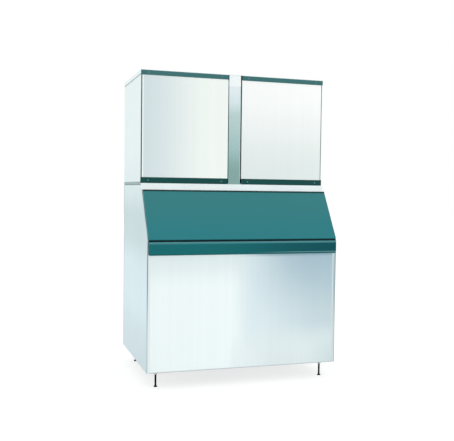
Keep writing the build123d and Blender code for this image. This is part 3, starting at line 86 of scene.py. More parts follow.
def toned(colour: Colour, factor: float, lift: float = 0.0) -> Colour:
    """A colour times a factor, plus a lift, and no paler than white."""
    red, green, blue = (min(1.0, part * factor + lift) for part in colour)
    return red, green, blue


# Shader maths


class Signal:
    """An output socket that Python's operators work on."""

    def __init__(self, graph: "Graph", socket: bpy.types.NodeSocket | None) -> None:
        """Keeps the socket and the graph that it is in."""
        self.graph = graph
        self.socket = socket

    def _maths(self, operation: str, *values: "Signal | float") -> "Signal":
        """Adds a Math node that works on the values in their order."""
        return self.graph.node("ShaderNodeMath", {"operation": operation}, dict(enumerate(values)))

    def __add__(self, other: "Signal | float") -> "Signal":
        """Adds."""
        return self._maths("ADD", self, other)

    def __sub__(self, other: "Signal | float") -> "Signal":
        """Takes away."""
        return self._maths("SUBTRACT", self, other)

    def __rsub__(self, other: float) -> "Signal":
        """Takes this away from a number."""
        return self._maths("SUBTRACT", other, self)

    def __mul__(self, other: "Signal | float") -> "Signal":
        """Multiplies."""
        return self._maths("MULTIPLY", self, other)

    __radd__ = __add__
    __rmul__ = __mul__

    def swing(self, amount: float, middle: float = 0.5) -> "Signal":
        """How far the value is above its middle, times an amount."""
        return (self - middle) * amount

    def rise(self, low: float, high: float) -> "Signal":
        """A smooth step that leaves 0 at the low value and reaches 1 at the high one."""
        inputs = {"Value": self, "From Min": low, "From Max": high}
        return self.graph.node("ShaderNodeMapRange", {"interpolation_type": "SMOOTHSTEP"}, inputs)


class Cells(Enum):
    """What is read of a cell pattern: its feature, and the output that gives it."""

    TONE = ("F1", "Color")
    WALL = ("DISTANCE_TO_EDGE", "Distance")


class Graph:
    """The nodes of one material or world."""

    def __init__(self, owner: bpy.types.Material | bpy.types.World) -> None:
        """Empties the owner's node tree.

        Args:
            owner: The material or world.
        """
        owner.use_nodes = True
        self.tree = owner.node_tree
        self.tree.nodes.clear()

    def node(
        self,
        kind: str,
        settings: dict[str, Any] | None = None,
        inputs: dict[int | str, Any] | None = None,
        output: int | str = 0,
    ) -> Signal:
        """Adds any node.

        Args:
            kind: The node's type.
            settings: Its own settings, set first.
            inputs: The value or link of each of its sockets.
            output: The socket that is asked for.

        Returns:
            That output socket.
        """
        made = self.tree.nodes.new(kind)
        for name, value in (settings or {}).items():
            setattr(made, name, value)
        for name, value in (inputs or {}).items():
            socket = made.inputs[name]
            if isinstance(value, Signal):
                self.tree.links.new(value.socket, socket)
            elif isinstance(value, tuple) and socket.type == "RGBA":
                socket.default_value = (*value, 1.0)
            else:
                socket.default_value = value
        return Signal(self, made.outputs[output] if made.outputs else None)

    def place(self) -> Signal:
        """The place on the object, in metres."""
        return self.node("ShaderNodeTexCoord", output="Object")

    def along(self, axis: str) -> Signal:
        """The place along one axis, X, Y or Z."""
        return self.node("ShaderNodeSeparateXYZ", inputs={0: self.place()}, output=axis)

    def noise(self, scale: float | Sequence[float], detail: float) -> Signal:
        """A noise between 0 and 1.

        Args:
            scale: How fine it is, as one number or along each axis.
            detail: How many finer layers it has.

        Returns:
            The noise.
        """
        scales = (scale, scale, scale) if isinstance(scale, float) else tuple(scale)
        place = self.node("ShaderNodeMapping", inputs={"Vector": self.place(), "Scale": scales})
        inputs = {"Vector": place, "Scale": 1.0, "Detail": detail}
        return self.node("ShaderNodeTexNoise", inputs=inputs)

    def cells(self, scale: float, wanted: Cells) -> Signal:
        """A cell pattern.

        Args:
            scale: How fine it is.
            wanted: What is read of it.

        Returns:
            The pattern.
        """
        feature, output = wanted.value
        inputs = {"Vector": self.place(), "Scale": scale}
        return self.node("ShaderNodeTexVoronoi", {"feature": feature}, inputs, output)

    def blend(self, factor: Signal | float, first: Any, second: Any, mode: str = "MIX") -> Signal:
        """Mixes a second colour into the first, as much as the factor says."""
        settings = {"data_type": "RGBA", "blend_type": mode}
        return self.node("ShaderNodeMix", settings, {0: factor, 6: first, 7: second}, 2)

    def bump(self, relief: Signal, height: float, strength: float) -> Signal:
        """Turns a relief, which is so many metres high at 1, into a normal."""
        inputs = {"Height": relief, "Distance": height, "Strength": strength}
        return self.node("ShaderNodeBump", inputs=inputs)

    def surface(self, **inputs: Any) -> None:
        """Ends the graph in one Principled shader.

        Args:
            inputs: The value or link of each socket, named with underscores.
        """
        named = {name.replace("_", " "): value for name, value in inputs.items()}
        shader = self.node("ShaderNodeBsdfPrincipled", inputs=named)
        self.node("ShaderNodeOutputMaterial", inputs={"Surface": shader})


# Painted light and shade


class Edge(Enum):
    """An edge of the machine: its axis, and whether it is at that axis's high end."""

    LEFT = ("X", False)
    RIGHT = ("X", True)
    BACK = ("Y", True)
    FRONT = ("Y", False)
    FOOT = ("Z", False)
    TOP = ("Z", True)


@dataclass(frozen=True)
class PaintedLight:
    """A painted light or shade: a change of tone where its spans meet, at an edge, in a corner or
    in a band.
    """

    colour: Colour
    spans: tuple[tuple[Edge, Point], ...]

    def over(self, graph: Graph, colour: Colour | Signal) -> Signal:
        """Lays the painted light or shade over a colour.

        Args:
            graph: The material's graph.
            colour: The colour without the painted light or shade.

        Returns:
            The colour with it.
        """
        painted_light_mask: Signal | float = 1.0
        for edge, span in self.spans:
            axis, high = edge.value
            rise = graph.along(axis).rise(min(span), max(span))
            painted_light_mask = painted_light_mask * (rise if high else 1.0 - rise)
        return graph.blend(painted_light_mask, colour, self.colour)


def painted_light(red: int, green: int, blue: int, **spans: Point) -> PaintedLight:
    """A painted light or shade in a colour of 0 to 255: for each edge, the places where it starts
    and is full.
    """
    return PaintedLight(srgb(red, green, blue), tuple((Edge[name.upper()], spans[name]) for name in spans))


# Finishes


@dataclass(frozen=True)
class Finish:
    """What every finish has."""

    name: str
    colour: Colour

    def material(self) -> bpy.types.Material:
        """Makes the material.

        Returns:
            The new material.
        """
        made = bpy.data.materials.new(self.name)
        self.shade(Graph(made))
        return made

    def shade(self, graph: Graph) -> None:
        """Fills the material's graph."""
        raise NotImplementedError


@dataclass(frozen=True)
class PaintedLightFinish(Finish):
    """A finish that can carry painted light and shade: tones that change towards some edges."""

    painted_lights: tuple[PaintedLight, ...] = ()

    def tone(self, graph: Graph, level: Signal) -> Signal:
        """Lays the painted light and shade over the colour in their order, and a level over it all.

        Args:
            graph: The material's graph.
            level: How light each place is, with 1 for the colour as it is.

        Returns:
            The colour.
        """
        colour: Colour | Signal = self.colour
        for change in self.painted_lights:
            colour = change.over(graph, colour)
        grey = graph.node("ShaderNodeCombineColor", inputs={0: level, 1: level, 2: level})
        return graph.blend(1.0, colour, grey, "MULTIPLY")


class Grain(Enum):
    """The way that a sheet is brushed: how fine its grain is along each axis."""

    UPRIGHT = (1.0, 1.0, 0.012)
    ACROSS = (0.012, 1.0, 1.0)


@dataclass(frozen=True)
class BrushedSheet(PaintedLightFinish):
    """Brushed stainless sheet: fine grain, broad streaks and faint handling marks."""

    grain: Grain = Grain.UPRIGHT
    roughness: float = 0.34
    metallic: float = 0.85
    streaks: float = 0.05
    grain_scale: float = 900.0
    streak_scale: float = 38.0
    mark_scale: float = 3.4
    grain_share: float = 0.7
    grain_dulling: float = 0.12
    mark_dulling: float = 0.10

    def brushed(self, graph: Graph, scale: float, detail: float) -> Signal:
        """A noise that is drawn out along the grain."""
        return graph.noise([scale * part for part in self.grain.value], detail)

    def shade(self, graph: Graph) -> None:
        """Fills the material's graph.

        Args:
            graph: The graph.
        """
        fine = self.brushed(graph, self.grain_scale, detail=3.0)
        broad = self.brushed(graph, self.streak_scale, detail=2.0)
        marks = graph.noise(self.mark_scale, detail=4.0)
        level = 1.0 + broad.swing(self.streaks) + fine.swing(self.streaks * self.grain_share)
        dulling = fine.swing(self.grain_dulling)
        graph.surface(
            Base_Color=self.tone(graph, level),
            Metallic=self.metallic,
            Roughness=self.roughness + dulling + marks.swing(self.mark_dulling),
            Normal=graph.bump(fine, height=0.00004, strength=0.35),
        )


@dataclass(frozen=True)
class Moulded(PaintedLightFinish):
    """Moulded or extruded plastic: a fine leather grain and soft, rubbed blotches."""

    roughness: float = 0.4
    gloss: float = 0.3
    grain_scale: float = 900.0
    blotch_scale: float = 4.0
    mottle: float = 0.05
    rubbing: float = 0.12

    def shade(self, graph: Graph) -> None:
        """Fills the material's graph.

        Args:
            graph: The graph.
        """
        grain = graph.noise(self.grain_scale, detail=2.0)
        blotch = graph.noise(self.blotch_scale, detail=1.0)
        level = 1.0 + blotch.swing(self.mottle) + grain.swing(self.mottle)
        graph.surface(
            Base_Color=self.tone(graph, level),
            Specular_IOR_Level=self.gloss,
            Roughness=self.roughness + blotch.swing(self.rubbing),
            Normal=graph.bump(grain, height=0.00006, strength=0.3),
        )


@dataclass(frozen=True)
class Patchy(Finish):
    """A fine relief, under patches that differ a little in tone and roughness."""

    roughness: float = 0.32
    gloss: float = 0.4
    relief_scale: float = 260.0
    relief_detail: float = 1.0
    relief_height: float = 0.0002
    relief_strength: float = 0.25
    patch_scale: float = 5.0
    patch_detail: float = 5.0
    patch_middle: float = 0.5
    patch_rise: Point = (0.35, 0.8)
    patch_factor: float = 1.0
    patch_lift: float = 0.0
    patch_dulling: float = 0.2

    def relief(self, graph: Graph) -> Signal:
        """The relief, from 0 to 1."""
        return graph.noise(self.relief_scale, self.relief_detail)

    def shade(self, graph: Graph) -> None:
        """Fills the material's graph.

        Args:
            graph: The graph.
        """
        patch = graph.noise(self.patch_scale, self.patch_detail)
        other = toned(self.colour, self.patch_factor, self.patch_lift)
        graph.surface(
            Base_Color=graph.blend(patch.rise(*self.patch_rise), self.colour, other),
            Specular_IOR_Level=self.gloss,
            Roughness=self.roughness + patch.swing(self.patch_dulling, self.patch_middle),
            Normal=graph.bump(self.relief(graph), self.relief_height, self.relief_strength),
        )


@dataclass(frozen=True)
class Enamel(Patchy):
    """Stoved or powder-coated enamel: orange peel and dust."""

    patch_middle: float = 0.4
    patch_factor: float = 0.93


@dataclass(frozen=True)
class Rubber(Patchy):
    """Moulded rubber: dull, finely pitted, with a dusty bloom."""

    roughness: float = 0.72
    gloss: float = 0.25
    relief_scale: float = 1400.0
    relief_detail: float = 2.0
    relief_height: float = 0.0001
    relief_strength: float = 0.4
    patch_scale: float = 24.0
    patch_rise: Point = (0.45, 0.85)
    patch_lift: float = 0.05


@dataclass(frozen=True)
class Foam(Patchy):
    """Rigid foam: open cells in a cut face."""

    roughness: float = 0.8
    gloss: float = 0.15
    relief_scale: float = 420.0
    relief_height: float = 0.0015
    relief_strength: float = 0.6
    patch_scale: float = 9.0
    patch_detail: float = 4.0
    patch_rise: Point = (0.3, 0.8)
    patch_factor: float = 0.75
    patch_dulling: float = -0.1

    def relief(self, graph: Graph) -> Signal:
        """The cells' walls, from 0 to 1."""
        return graph.cells(self.relief_scale, Cells.WALL)


@dataclass(frozen=True)
class Spangled(Finish):
    """Galvanised sheet with its zinc spangle."""

    crystal_scale: float = 60.0
    warp_share: float = 0.7
    stain_scale: float = 4.0
    metallic: float = 0.75
    roughness: float = 0.36
    crystal_share: float = 0.7
    crystal_dulling: float = 0.16
    stain_dulling: float = 0.12

    def shade(self, graph: Graph) -> None:
        """Fills the material's graph.

        Args:
            graph: The graph.
        """
        warp = graph.noise(self.crystal_scale * self.warp_share, detail=2.0)
        crystal = graph.cells(self.crystal_scale, Cells.TONE)
        tone = graph.node("ShaderNodeSeparateColor", inputs={0: crystal})
        stain = graph.noise(self.stain_scale, detail=6.0)
        pattern = tone * self.crystal_share + warp * (1.0 - self.crystal_share)
        dulling = tone * self.crystal_dulling
        graph.surface(
            Base_Color=graph.blend(pattern, toned(self.colour, 0.8), self.colour),
            Metallic=self.metallic,
            Roughness=self.roughness + dulling + stain.swing(self.stain_dulling),
            Normal=graph.bump(tone, height=0.00003, strength=0.3),
        )


@dataclass(frozen=True)
class BareMetal(Finish):
    """Turned, drawn or plated metal: fine tool lines and a patchy tarnish."""

    tarnish: Colour = (0.3, 0.3, 0.3)
    roughness: float = 0.24
    line_scales: Place = (40.0, 40.0, 1400.0)
    patch_scale: float = 30.0
    tarnish_share: float = 0.6
    tarnish_dulling: float = 0.2
    line_dulling: float = 0.1

    def shade(self, graph: Graph) -> None:
        """Fills the material's graph.

        Args:
            graph: The graph.
        """
        lines = graph.noise(self.line_scales, detail=2.0)
        worn = graph.noise(self.patch_scale, detail=5.0).rise(low=0.5, high=0.78)
        dulling = worn * self.tarnish_dulling
        graph.surface(
            Base_Color=graph.blend(worn * self.tarnish_share, self.colour, self.tarnish),
            Metallic=1.0 - worn * 0.25,
            Roughness=self.roughness + dulling + lines.swing(self.line_dulling),
            Normal=graph.bump(lines, height=0.00004, strength=0.3),
        )


@dataclass(frozen=True)
class Translucent(Finish):
    """A thin moulded sheet that lets light through, with the lines of its flow."""

    clearness: float = 0.55
    roughness: float = 0.28
    flow_scales: Place = (6.0, 6.0, 2.0)
    flow_dulling: float = 0.15

    def shade(self, graph: Graph) -> None:
        """Fills the material's graph.

        Args:
            graph: The graph.
        """
        flow = graph.noise(self.flow_scales, detail=1.0)
        graph.surface(
            Base_Color=graph.blend(flow, self.colour, toned(self.colour, 1.06)),
            Transmission_Weight=self.clearness,
            Roughness=self.roughness + flow.swing(self.flow_dulling),
            Normal=graph.bump(flow, height=0.002, strength=0.25),
        )


# Modelling


def only(piece: bpy.types.Object) -> None:
    """Selects one piece and makes it active.

    Args:
        piece: The object.
    """
    bpy.ops.object.select_all(action="DESELECT")
    piece.hide_set(False)
    piece.select_set(True)
    bpy.context.view_layer.objects.active = piece


@contextmanager
def editing(piece: bpy.types.Object) -> Iterator[bmesh.types.BMesh]:
    """Opens a piece in edit mode, alone and selected all over, and closes it afterwards.

    Args:
        piece: The object to edit.

    Yields:
        Its edit mesh.
    """
    only(piece)
    bpy.ops.object.mode_set(mode="EDIT")
    bpy.ops.mesh.select_all(action="SELECT")
    try:
        yield bmesh.from_edit_mesh(piece.data)
    finally:
        bpy.ops.object.mode_set(mode="OBJECT")


def merged(threshold: float) -> None:
    """Merges the doubles of the piece in edit mode and turns its faces outwards.

    Args:
        threshold: How far apart doubles are at most.
    """
    bpy.ops.mesh.select_all(action="SELECT")
    bpy.ops.mesh.remove_doubles(threshold=threshold)
    bpy.ops.mesh.normals_make_consistent(inside=False)


def added(operator: Callable[..., Any], name: str, **settings: Any) -> bpy.types.Object:
    """Adds a primitive, alone in the selection, with its place kept in its mesh.

    Args:
        operator: The operator that adds it.
        name: Its name.
        settings: Its size and place.

    Returns:
        The new object.
    """
    bpy.ops.object.select_all(action="DESELECT")
    operator(**settings)
    piece = bpy.context.object
    piece.name = name
    bpy.ops.object.transform_apply(location=True, rotation=True, scale=True)
    return piece


def drawn(name: str, points: Sequence[Vector], close: bool = False) -> bpy.types.Object:
    """Draws a line by pulling one vertex from point to point.

    Args:
        name: The piece's name.
        points: The line's points.
        close: Whether the line is closed and filled.

    Returns:
        The new object, at the origin.
    """
    piece = added(bpy.ops.mesh.primitive_plane_add, name, size=0.001, location=points[0])
    with editing(piece):
        bpy.ops.mesh.merge(type="CENTER")
        for start, end in zip(points, points[1:]):
            bpy.ops.mesh.extrude_region_move(TRANSFORM_OT_translate={"value": end - start})
        if close:
            bpy.ops.mesh.select_all(action="SELECT")
            bpy.ops.mesh.edge_face_add()
    return piece


def turned(name: str, profile: Sequence[Point], steps: int) -> bpy.types.Object:
    """Turns a profile round the Z axis, as on a lathe.

    Args:
        name: The piece's name.
        profile: Radius and height of each corner, from one pole to the other.
        steps: How many faces go round.

    Returns:
        The new object.
    """
    piece = drawn(name, [Vector((radius, 0, height)) for radius, height in profile])
    with editing(piece):
        bpy.ops.mesh.spin(steps=steps, angle=math.tau, center=(0, 0, 0), axis=(0, 0, 1))
        merged(threshold=0.00002)
    return smoothed(piece)


def extruded(name: str, outline: Sequence[Point], span: Point) -> bpy.types.Object:
    """Pulls a filled outline in Y and Z along X.

    Args:
        name: The piece's name.
        outline: Its corners, as Y and Z.
        span: Where it starts and ends on X.

    Returns:
        The new object.
    """
    piece = drawn(name, [Vector((span[0], y, z)) for y, z in outline], close=True)
    with editing(piece):
        move = {"value": (span[1] - span[0], 0, 0)}
        bpy.ops.mesh.extrude_region_move(TRANSFORM_OT_translate=move)
        merged(threshold=0.00001)
    return piece


def block(name: str, low: Sequence[float], high: Sequence[float]) -> bpy.types.Object:
    """Adds a box between two corners, as a start for a piece or as a cutter.

    Args:
        name: The piece's name.
        low: Its lowest corner.
        high: Its highest corner.

    Returns:
        The new object.
    """
    middle = [(a + b) / 2 for a, b in zip(low, high)]
    size = [b - a for a, b in zip(low, high)]
    return added(bpy.ops.mesh.primitive_cube_add, name, size=1.0, location=middle, scale=size)


def smoothed(piece: bpy.types.Object, angle: float = 32.0) -> bpy.types.Object:
    """Shades a piece smooth where its faces meet at a small angle.

    Args:
        piece: The object.
        angle: The largest such angle, in degrees.

    Returns:
        The same object.
    """
    only(piece)
    bpy.ops.object.shade_smooth_by_angle(angle=math.radians(angle))
    return piece


def dropped(piece: bpy.types.Object) -> None:
    """Removes a piece that has done its work."""
    bpy.data.objects.remove(piece, do_unlink=True)


def cut(piece: bpy.types.Object, cutter: bpy.types.Object, how: str = "DIFFERENCE") -> None:
    """Cuts a piece with another, which is then gone.

    Args:
        piece: The object that stays.
        cutter: The object that cuts.
        how: The Boolean operation.
    """
    only(piece)
    modifier = piece.modifiers.new("Cut", "BOOLEAN")
    modifier.object = cutter
    modifier.operation = how
    modifier.solver = "EXACT"
    bpy.ops.object.modifier_apply(modifier=modifier.name)
    dropped(cutter)


def joined(name: str, pieces: Sequence[bpy.types.Object]) -> bpy.types.Object:
    """Joins pieces into the first of them.

    Args:
        name: The joined piece's name.
        pieces: The objects.

    Returns:
        The joined object.
    """
    only(pieces[0])
    for piece in pieces[1:]:
        piece.select_set(True)
    bpy.ops.object.join()
    pieces[0].name = name
    return pieces[0]


def copied(piece: bpy.types.Object, name: str, move: Matrix) -> bpy.types.Object:
    """Copies a piece with its own mesh, and moves that mesh.

    Args:
        piece: The object to copy.
        name: The copy's name.
        move: Where the copy goes.

    Returns:
        The copy.
    """
    twin = piece.copy()
    twin.data = piece.data.copy()
    twin.name = name
    twin.data.transform(move)
    bpy.context.collection.objects.link(twin)
    return twin


def arc(centre: Point, radius: float, start: float, end: float, steps: int = 6) -> list[Point]:
    """The points of an arc between two angles in degrees, with both ends."""
    angles = [math.radians(start + (end - start) * step / steps) for step in range(steps + 1)]
    return [(centre[0] + radius * math.cos(a), centre[1] + radius * math.sin(a)) for a in angles]


@dataclass(frozen=True)
class Thread:
    """A threaded stretch of a stem."""

    radius: float
    depth: float
    pitch: float
    low: float
    high: float

    @property
    def root(self) -> float:
        """The radius between its crests."""
        return self.radius - self.depth

    def profile(self) -> list[Point]:
        """Draws its crests and roots from low to high.

        Returns:
            Radius and height of each corner.
        """
        count = int((self.high - self.low) / self.pitch)
        corners = []
        for turn in range(count):
            foot = self.low + turn * self.pitch
            corners += [(self.root, foot), (self.radius, foot + self.pitch / 2)]
        return [*corners, (self.root, self.low + count * self.pitch)]


# The machine's finishes, one for each material slot of the record

SIDE_STEEL = srgb(206, 228, 234)
HEAD_STEEL = srgb(232, 246, 246)
# Painted shade: the bin sides darker towards the foot.
PAINTED_SIDE_FOOT_SHADE = painted_light(194, 215, 221, foot=(0.5, 0.2))
FLANGE = (-0.4236, -0.4256)
LEFT_CORNER = (-0.6035, -0.6065)
RIGHT_CORNER = (0.603, 0.6065)
LOW_PART = (0.38, 0.12)

SLOT_FINISHES: dict[str, Finish] = {
    # Painted reflections and shade on the bin sides: a darker band high up and a paler top, darker
    # towards the foot, the back edge and the front, a painted highlight on the front flange, and
    # painted shade down the corner bend, darkest high up.
    "stainless_bin": BrushedSheet(
        "bin side steel",
        SIDE_STEEL,
        painted_lights=(
            painted_light(190, 213, 216, top=(0.70, 0.90)),
            painted_light(214, 234, 236, top=(1.0, 1.2)),
            PAINTED_SIDE_FOOT_SHADE,
            painted_light(186, 198, 202, back=(0.37, 0.41)),
            painted_light(172, 190, 197, front=(-0.395, -0.42)),
            painted_light(232, 243, 245, front=FLANGE),
            painted_light(186, 204, 210, front=FLANGE, left=LEFT_CORNER),
            painted_light(108, 134, 142, front=FLANGE, left=LEFT_CORNER, top=(0.3, 0.7)),
        ),
    ),
    # Painted reflection: the front steel darker towards the foot.
    "stainless_front": BrushedSheet(
        "front steel", srgb(238, 248, 248), painted_lights=(painted_light(222, 233, 231, foot=(1.75, 1.3)),)
    ),
    "stainless_head": BrushedSheet("head steel", HEAD_STEEL, streaks=0.03),
    # Painted reflections and shade on the recessed post: dark low down, paler in steps towards the
    # top, with a painted highlight down its right edge and along its top edge.
    "post_steel": BrushedSheet(
        "post steel",
        srgb(134, 169, 165),
        painted_lights=(
            painted_light(166, 197, 197, top=(1.3, 1.5)),
            painted_light(186, 210, 209, top=(1.46, 1.68)),
            painted_light(214, 231, 234, top=(1.655, 1.765)),
            painted_light(228, 239, 243, top=(1.72, 1.85)),
            painted_light(196, 218, 218, right=(0.0345, 0.037)),
            painted_light(244, 250, 251, top=(1.852, 1.86)),
        ),
        roughness=0.25,
        streaks=0.1,
    ),
    "white_rail": Enamel("white enamel", srgb(243, 252, 253)),
    # Painted shade: the door darker and bluer towards its foot.
    "teal_door": Moulded(
        "door teal", srgb(52, 128, 131), painted_lights=(painted_light(40, 127, 134, foot=(1.15, 0.92)),), gloss=0.16
    ),
    # Painted light and shade on the handle strip: darker towards the right, painted highlights
    # along its rounded top and its foot, a pale painted highlight line along the foot's right half,
    # and painted shade in the groove under the door.
    "teal_handle": Moulded(
        "handle teal",
        srgb(22, 117, 121),
        painted_lights=(
            painted_light(5, 87, 95, right=(-0.3, 0.6)),
            painted_light(78, 146, 152, top=(0.866, 0.8725)),
            painted_light(30, 110, 113, foot=(0.814, 0.808)),
            painted_light(104, 156, 160, foot=(0.817, 0.8145), top=(0.8095, 0.812), right=(0.0, 0.35)),
            painted_light(0, 30, 36, top=(0.8806, 0.8816)),
        ),
        roughness=0.36,
        gloss=0.12,
    ),
    # Painted shade: the lower trims darker than the top ones.
    "teal_trim": Moulded(
        "trim teal", srgb(66, 122, 124), painted_lights=(painted_light(10, 78, 75, foot=(1.6, 1.5)),), gloss=0.18
    ),
    # The hinge's dark teal is partly its own paint and partly painted shade for the gap above the
    # door.
    "hinge_dark": Enamel("hinge teal", srgb(22, 56, 57), roughness=0.45, gloss=0.25),
    "grey_pan": Spangled("grey sheet", srgb(162, 190, 190), crystal_scale=90.0, metallic=0.35),
    "galvanised": Spangled("zinc sheet", srgb(196, 203, 205)),
    "white_liner": Moulded("white liner", srgb(238, 242, 242), roughness=0.28, gloss=0.5),
    "foam": Foam("cream foam", srgb(238, 222, 186)),
    "grey_rubber": Rubber("grey rubber", srgb(96, 108, 110)),
    "black_rubber": Rubber("black rubber", srgb(28, 28, 29)),
    "black_steel": Enamel("black enamel", srgb(26, 27, 29), roughness=0.3),
    "bright_steel": BareMetal("zinc plate", srgb(214, 217, 219), tarnish=srgb(150, 150, 146)),
    "black_foot": Enamel("blacked steel", srgb(8, 10, 10), roughness=0.6, gloss=0.02),
    "nickel_plate": BareMetal("nickel", srgb(212, 211, 205), tarnish=srgb(178, 172, 160)),
    "copper": BareMetal("copper", srgb(214, 142, 108), tarnish=srgb(120, 74, 56), roughness=0.3),
    "brass": BareMetal("brass", srgb(222, 190, 118), tarnish=srgb(128, 104, 62)),
    "clear_curtain": Translucent("curtain sheet", srgb(226, 234, 238)),
    "black_plastic": Moulded("black plastic", srgb(30, 30, 32), roughness=0.5),
    "aluminium_fin": BareMetal(
        "fin aluminium",
        srgb(218, 220, 222),
        tarnish=srgb(160, 162, 164),
        line_scales=(900.0, 60.0, 60.0),
    ),
    "fan_metal": BareMetal("fan sheet", srgb(190, 192, 194), tarnish=srgb(120, 122, 124)),
    "grey_plastic": Moulded("grey plastic", srgb(126, 134, 138), roughness=0.45),
}
PAINTED_SCREW = Enamel("painted screw", srgb(118, 160, 160), roughness=0.5, gloss=0.2)


# The sheets with painted reflections and shade of their own, by node

PANEL_FINISHES: dict[str, Finish] = {
    # Painted reflection and highlight: the left panel darker towards its left, with a painted
    # highlight along its rounded left edge.
    "head_front_panel_left": BrushedSheet(
        "left panel steel",
        srgb(244, 251, 247),
        painted_lights=(
            painted_light(214, 227, 230, left=(-0.14, -0.6)),
            painted_light(244, 252, 252, left=(-0.592, -0.595)),
        ),
    ),
    # Painted reflection: the right panel darker towards the foot.
    "head_front_panel_right": BrushedSheet(
        "right panel steel",
        srgb(250, 253, 252),
        painted_lights=(painted_light(226, 236, 234, foot=(1.86, 1.28)),),
    ),
    # Painted shade: the head side darker towards the foot, and its front flange painted dark as the
    # shade of the corner gap.
    "head_left_side": BrushedSheet(
        "left side steel",
        HEAD_STEEL,
        painted_lights=(
            painted_light(224, 240, 242, foot=(1.45, 1.25)),
            painted_light(96, 112, 114, front=(-0.1795, -0.181)),
        ),
        streaks=0.03,
    ),
    # Painted shade: a dark line at the foot of the cover's rim and a darker top edge.
    "head_top_cover": BrushedSheet(
        "cover steel",
        srgb(236, 247, 247),
        painted_lights=(
            painted_light(96, 120, 124, foot=(1.9032, 1.9018)),
            painted_light(212, 226, 228, top=(1.9262, 1.9274)),
        ),
        grain=Grain.ACROSS,
        streaks=0.03,
    ),
    # Painted light and shade on the right bin side: darker towards the foot, its front flange
    # painted darker and paler low down, with painted shade down the corner bend, darkest high up.
    "bin_right_panel": BrushedSheet(
        "right side steel",
        SIDE_STEEL,
        painted_lights=(
            PAINTED_SIDE_FOOT_SHADE,
            painted_light(178, 199, 203, front=FLANGE),
            painted_light(212, 223, 224, front=FLANGE, foot=(0.6, 0.25)),
            painted_light(140, 155, 158, front=FLANGE, right=RIGHT_CORNER),
            painted_light(92, 114, 120, front=FLANGE, right=RIGHT_CORNER, top=(0.45, 0.7)),
        ),
    ),
    # Painted reflections and shade on the lower front panel: broad darker and bluer areas towards
    # the top right, paler towards the lower left, a painted shadow of the handle strip under its
    # right half, and painted shade along the right bend and the foot edge.
    "bin_front_panel": BrushedSheet(
        "lower panel steel",
        srgb(239, 249, 249),
        painted_lights=(
            painted_light(222, 235, 236, top=(0.58, 0.82)),
            painted_light(221, 236, 240, right=(-0.1, 0.06)),
            painted_light(199, 217, 222, right=(0.0, 0.6)),
            painted_light(166, 192, 204, right=(-0.12, 0.45), top=(0.3, 0.86)),
            painted_light(231, 242, 243, foot=LOW_PART, right=(-0.12, -0.06)),
            painted_light(222, 234, 235, foot=LOW_PART, right=(-0.02, 0.2)),
            painted_light(208, 224, 226, foot=LOW_PART, right=(0.4, 0.6)),
            painted_light(146, 175, 185, top=(0.781, 0.797), foot=(0.812, 0.802), right=(-0.1, 0.3)),
            painted_light(212, 226, 231, right=(0.584, 0.589)),
            painted_light(196, 206, 208, foot=(0.1075, 0.1045)),
        ),
    ),
}


def dress(node: str, material: bpy.types.Material) -> None:
    """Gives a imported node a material."""
    for material_slot in frame["nodes"][node].material_slots:
        material_slot.material = material


@dataclass
class Palette:
    """The materials of the record's slots, each made when it is first asked for."""

    finishes: dict[str, Finish]
    made: dict[str, bpy.types.Material] = field(default_factory=dict)

    def __getitem__(self, slot: str) -> bpy.types.Material:
        """Makes a slot's material, or takes the one that is there.

        Args:
            slot: The record's material slot.

        Returns:
            The material.
        """
        if slot not in self.made:
            self.made[slot] = self.finishes[slot].material()
        return self.made[slot]

    def build(self) -> None:
        """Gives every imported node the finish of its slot."""
        for node, slot in SLOT_OF.items():
            dress(node, self[slot])
            log.info("%s: %s", node, slot)

    def put(self, piece: bpy.types.Object, body: str, slot: str) -> None:
        """Dresses a new piece and makes it ride on its body.

        Args:
            piece: The new object.
            body: The body that it moves with.
            slot: The record's material slot that it belongs to.
        """
        piece.data.materials.clear()
        piece.data.materials.append(self[slot])
        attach(piece, body)
        log.info("%s: %d faces on %s", piece.name, len(piece.data.polygons), body)


# The machine's pieces


@dataclass
class Panels:
    """The sheets with painted reflections and shade of their own."""

    finishes: dict[str, Finish]

    def build(self) -> None:
        """Gives the sheets their painted reflections and shade."""
        for node, finish in self.finishes.items():
            dress(node, finish.material())
            log.info("%s: %s", node, finish.name)


@dataclass
class LevellingFeet:
    """The four screwed feet under the bin, each a threaded stud on a pad."""

    palette: Palette
    corners: tuple[str, ...] = ("front_left", "front_right", "back_left", "back_right")
    thread: Thread = Thread(radius=0.006, depth=0.0008, pitch=0.0022, low=0.009, high=0.112)
    stud_gap: float = 0.0002
    stud_top: float = 0.145
    pad_radius: float = 0.011
    pad_height: float = 0.008
    pad_side: float = 0.0036
    pad_round: float = 0.002
    chamfer: float = 0.001

    def build(self) -> None:
        """Turns one foot and copies it to each corner."""
        root, stud = self.thread.root, self.thread.radius - self.stud_gap
        pad, edge = self.pad_radius, self.chamfer
        profile = [
            (0.0, 0.0),
            (pad - edge, 0.0),
            *arc((pad - edge, edge), edge, -90, 0, 3),
            (pad, self.pad_side),
            *arc((pad - self.pad_round, self.pad_side), self.pad_round, 0, 80, 3),
            (root + edge, self.pad_height - edge),
            (root, self.pad_height),
            *self.thread.profile(),
            (stud, self.thread.high + edge),
            (stud, self.stud_top - edge),
            (stud - edge, self.stud_top),
            (0.0, self.stud_top),
        ]
        model = turned("foot_model", profile, steps=28)
        for corner in self.corners:
            node = f"foot_{corner}"
            low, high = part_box(node)
            middle = (low + high) / 2
            foot = copied(model, f"threaded_{node}", Matrix.Translation((middle.x, middle.y, 0)))
            self.palette.put(foot, node, "black_foot")
            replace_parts(foot, node)
        dropped(model)


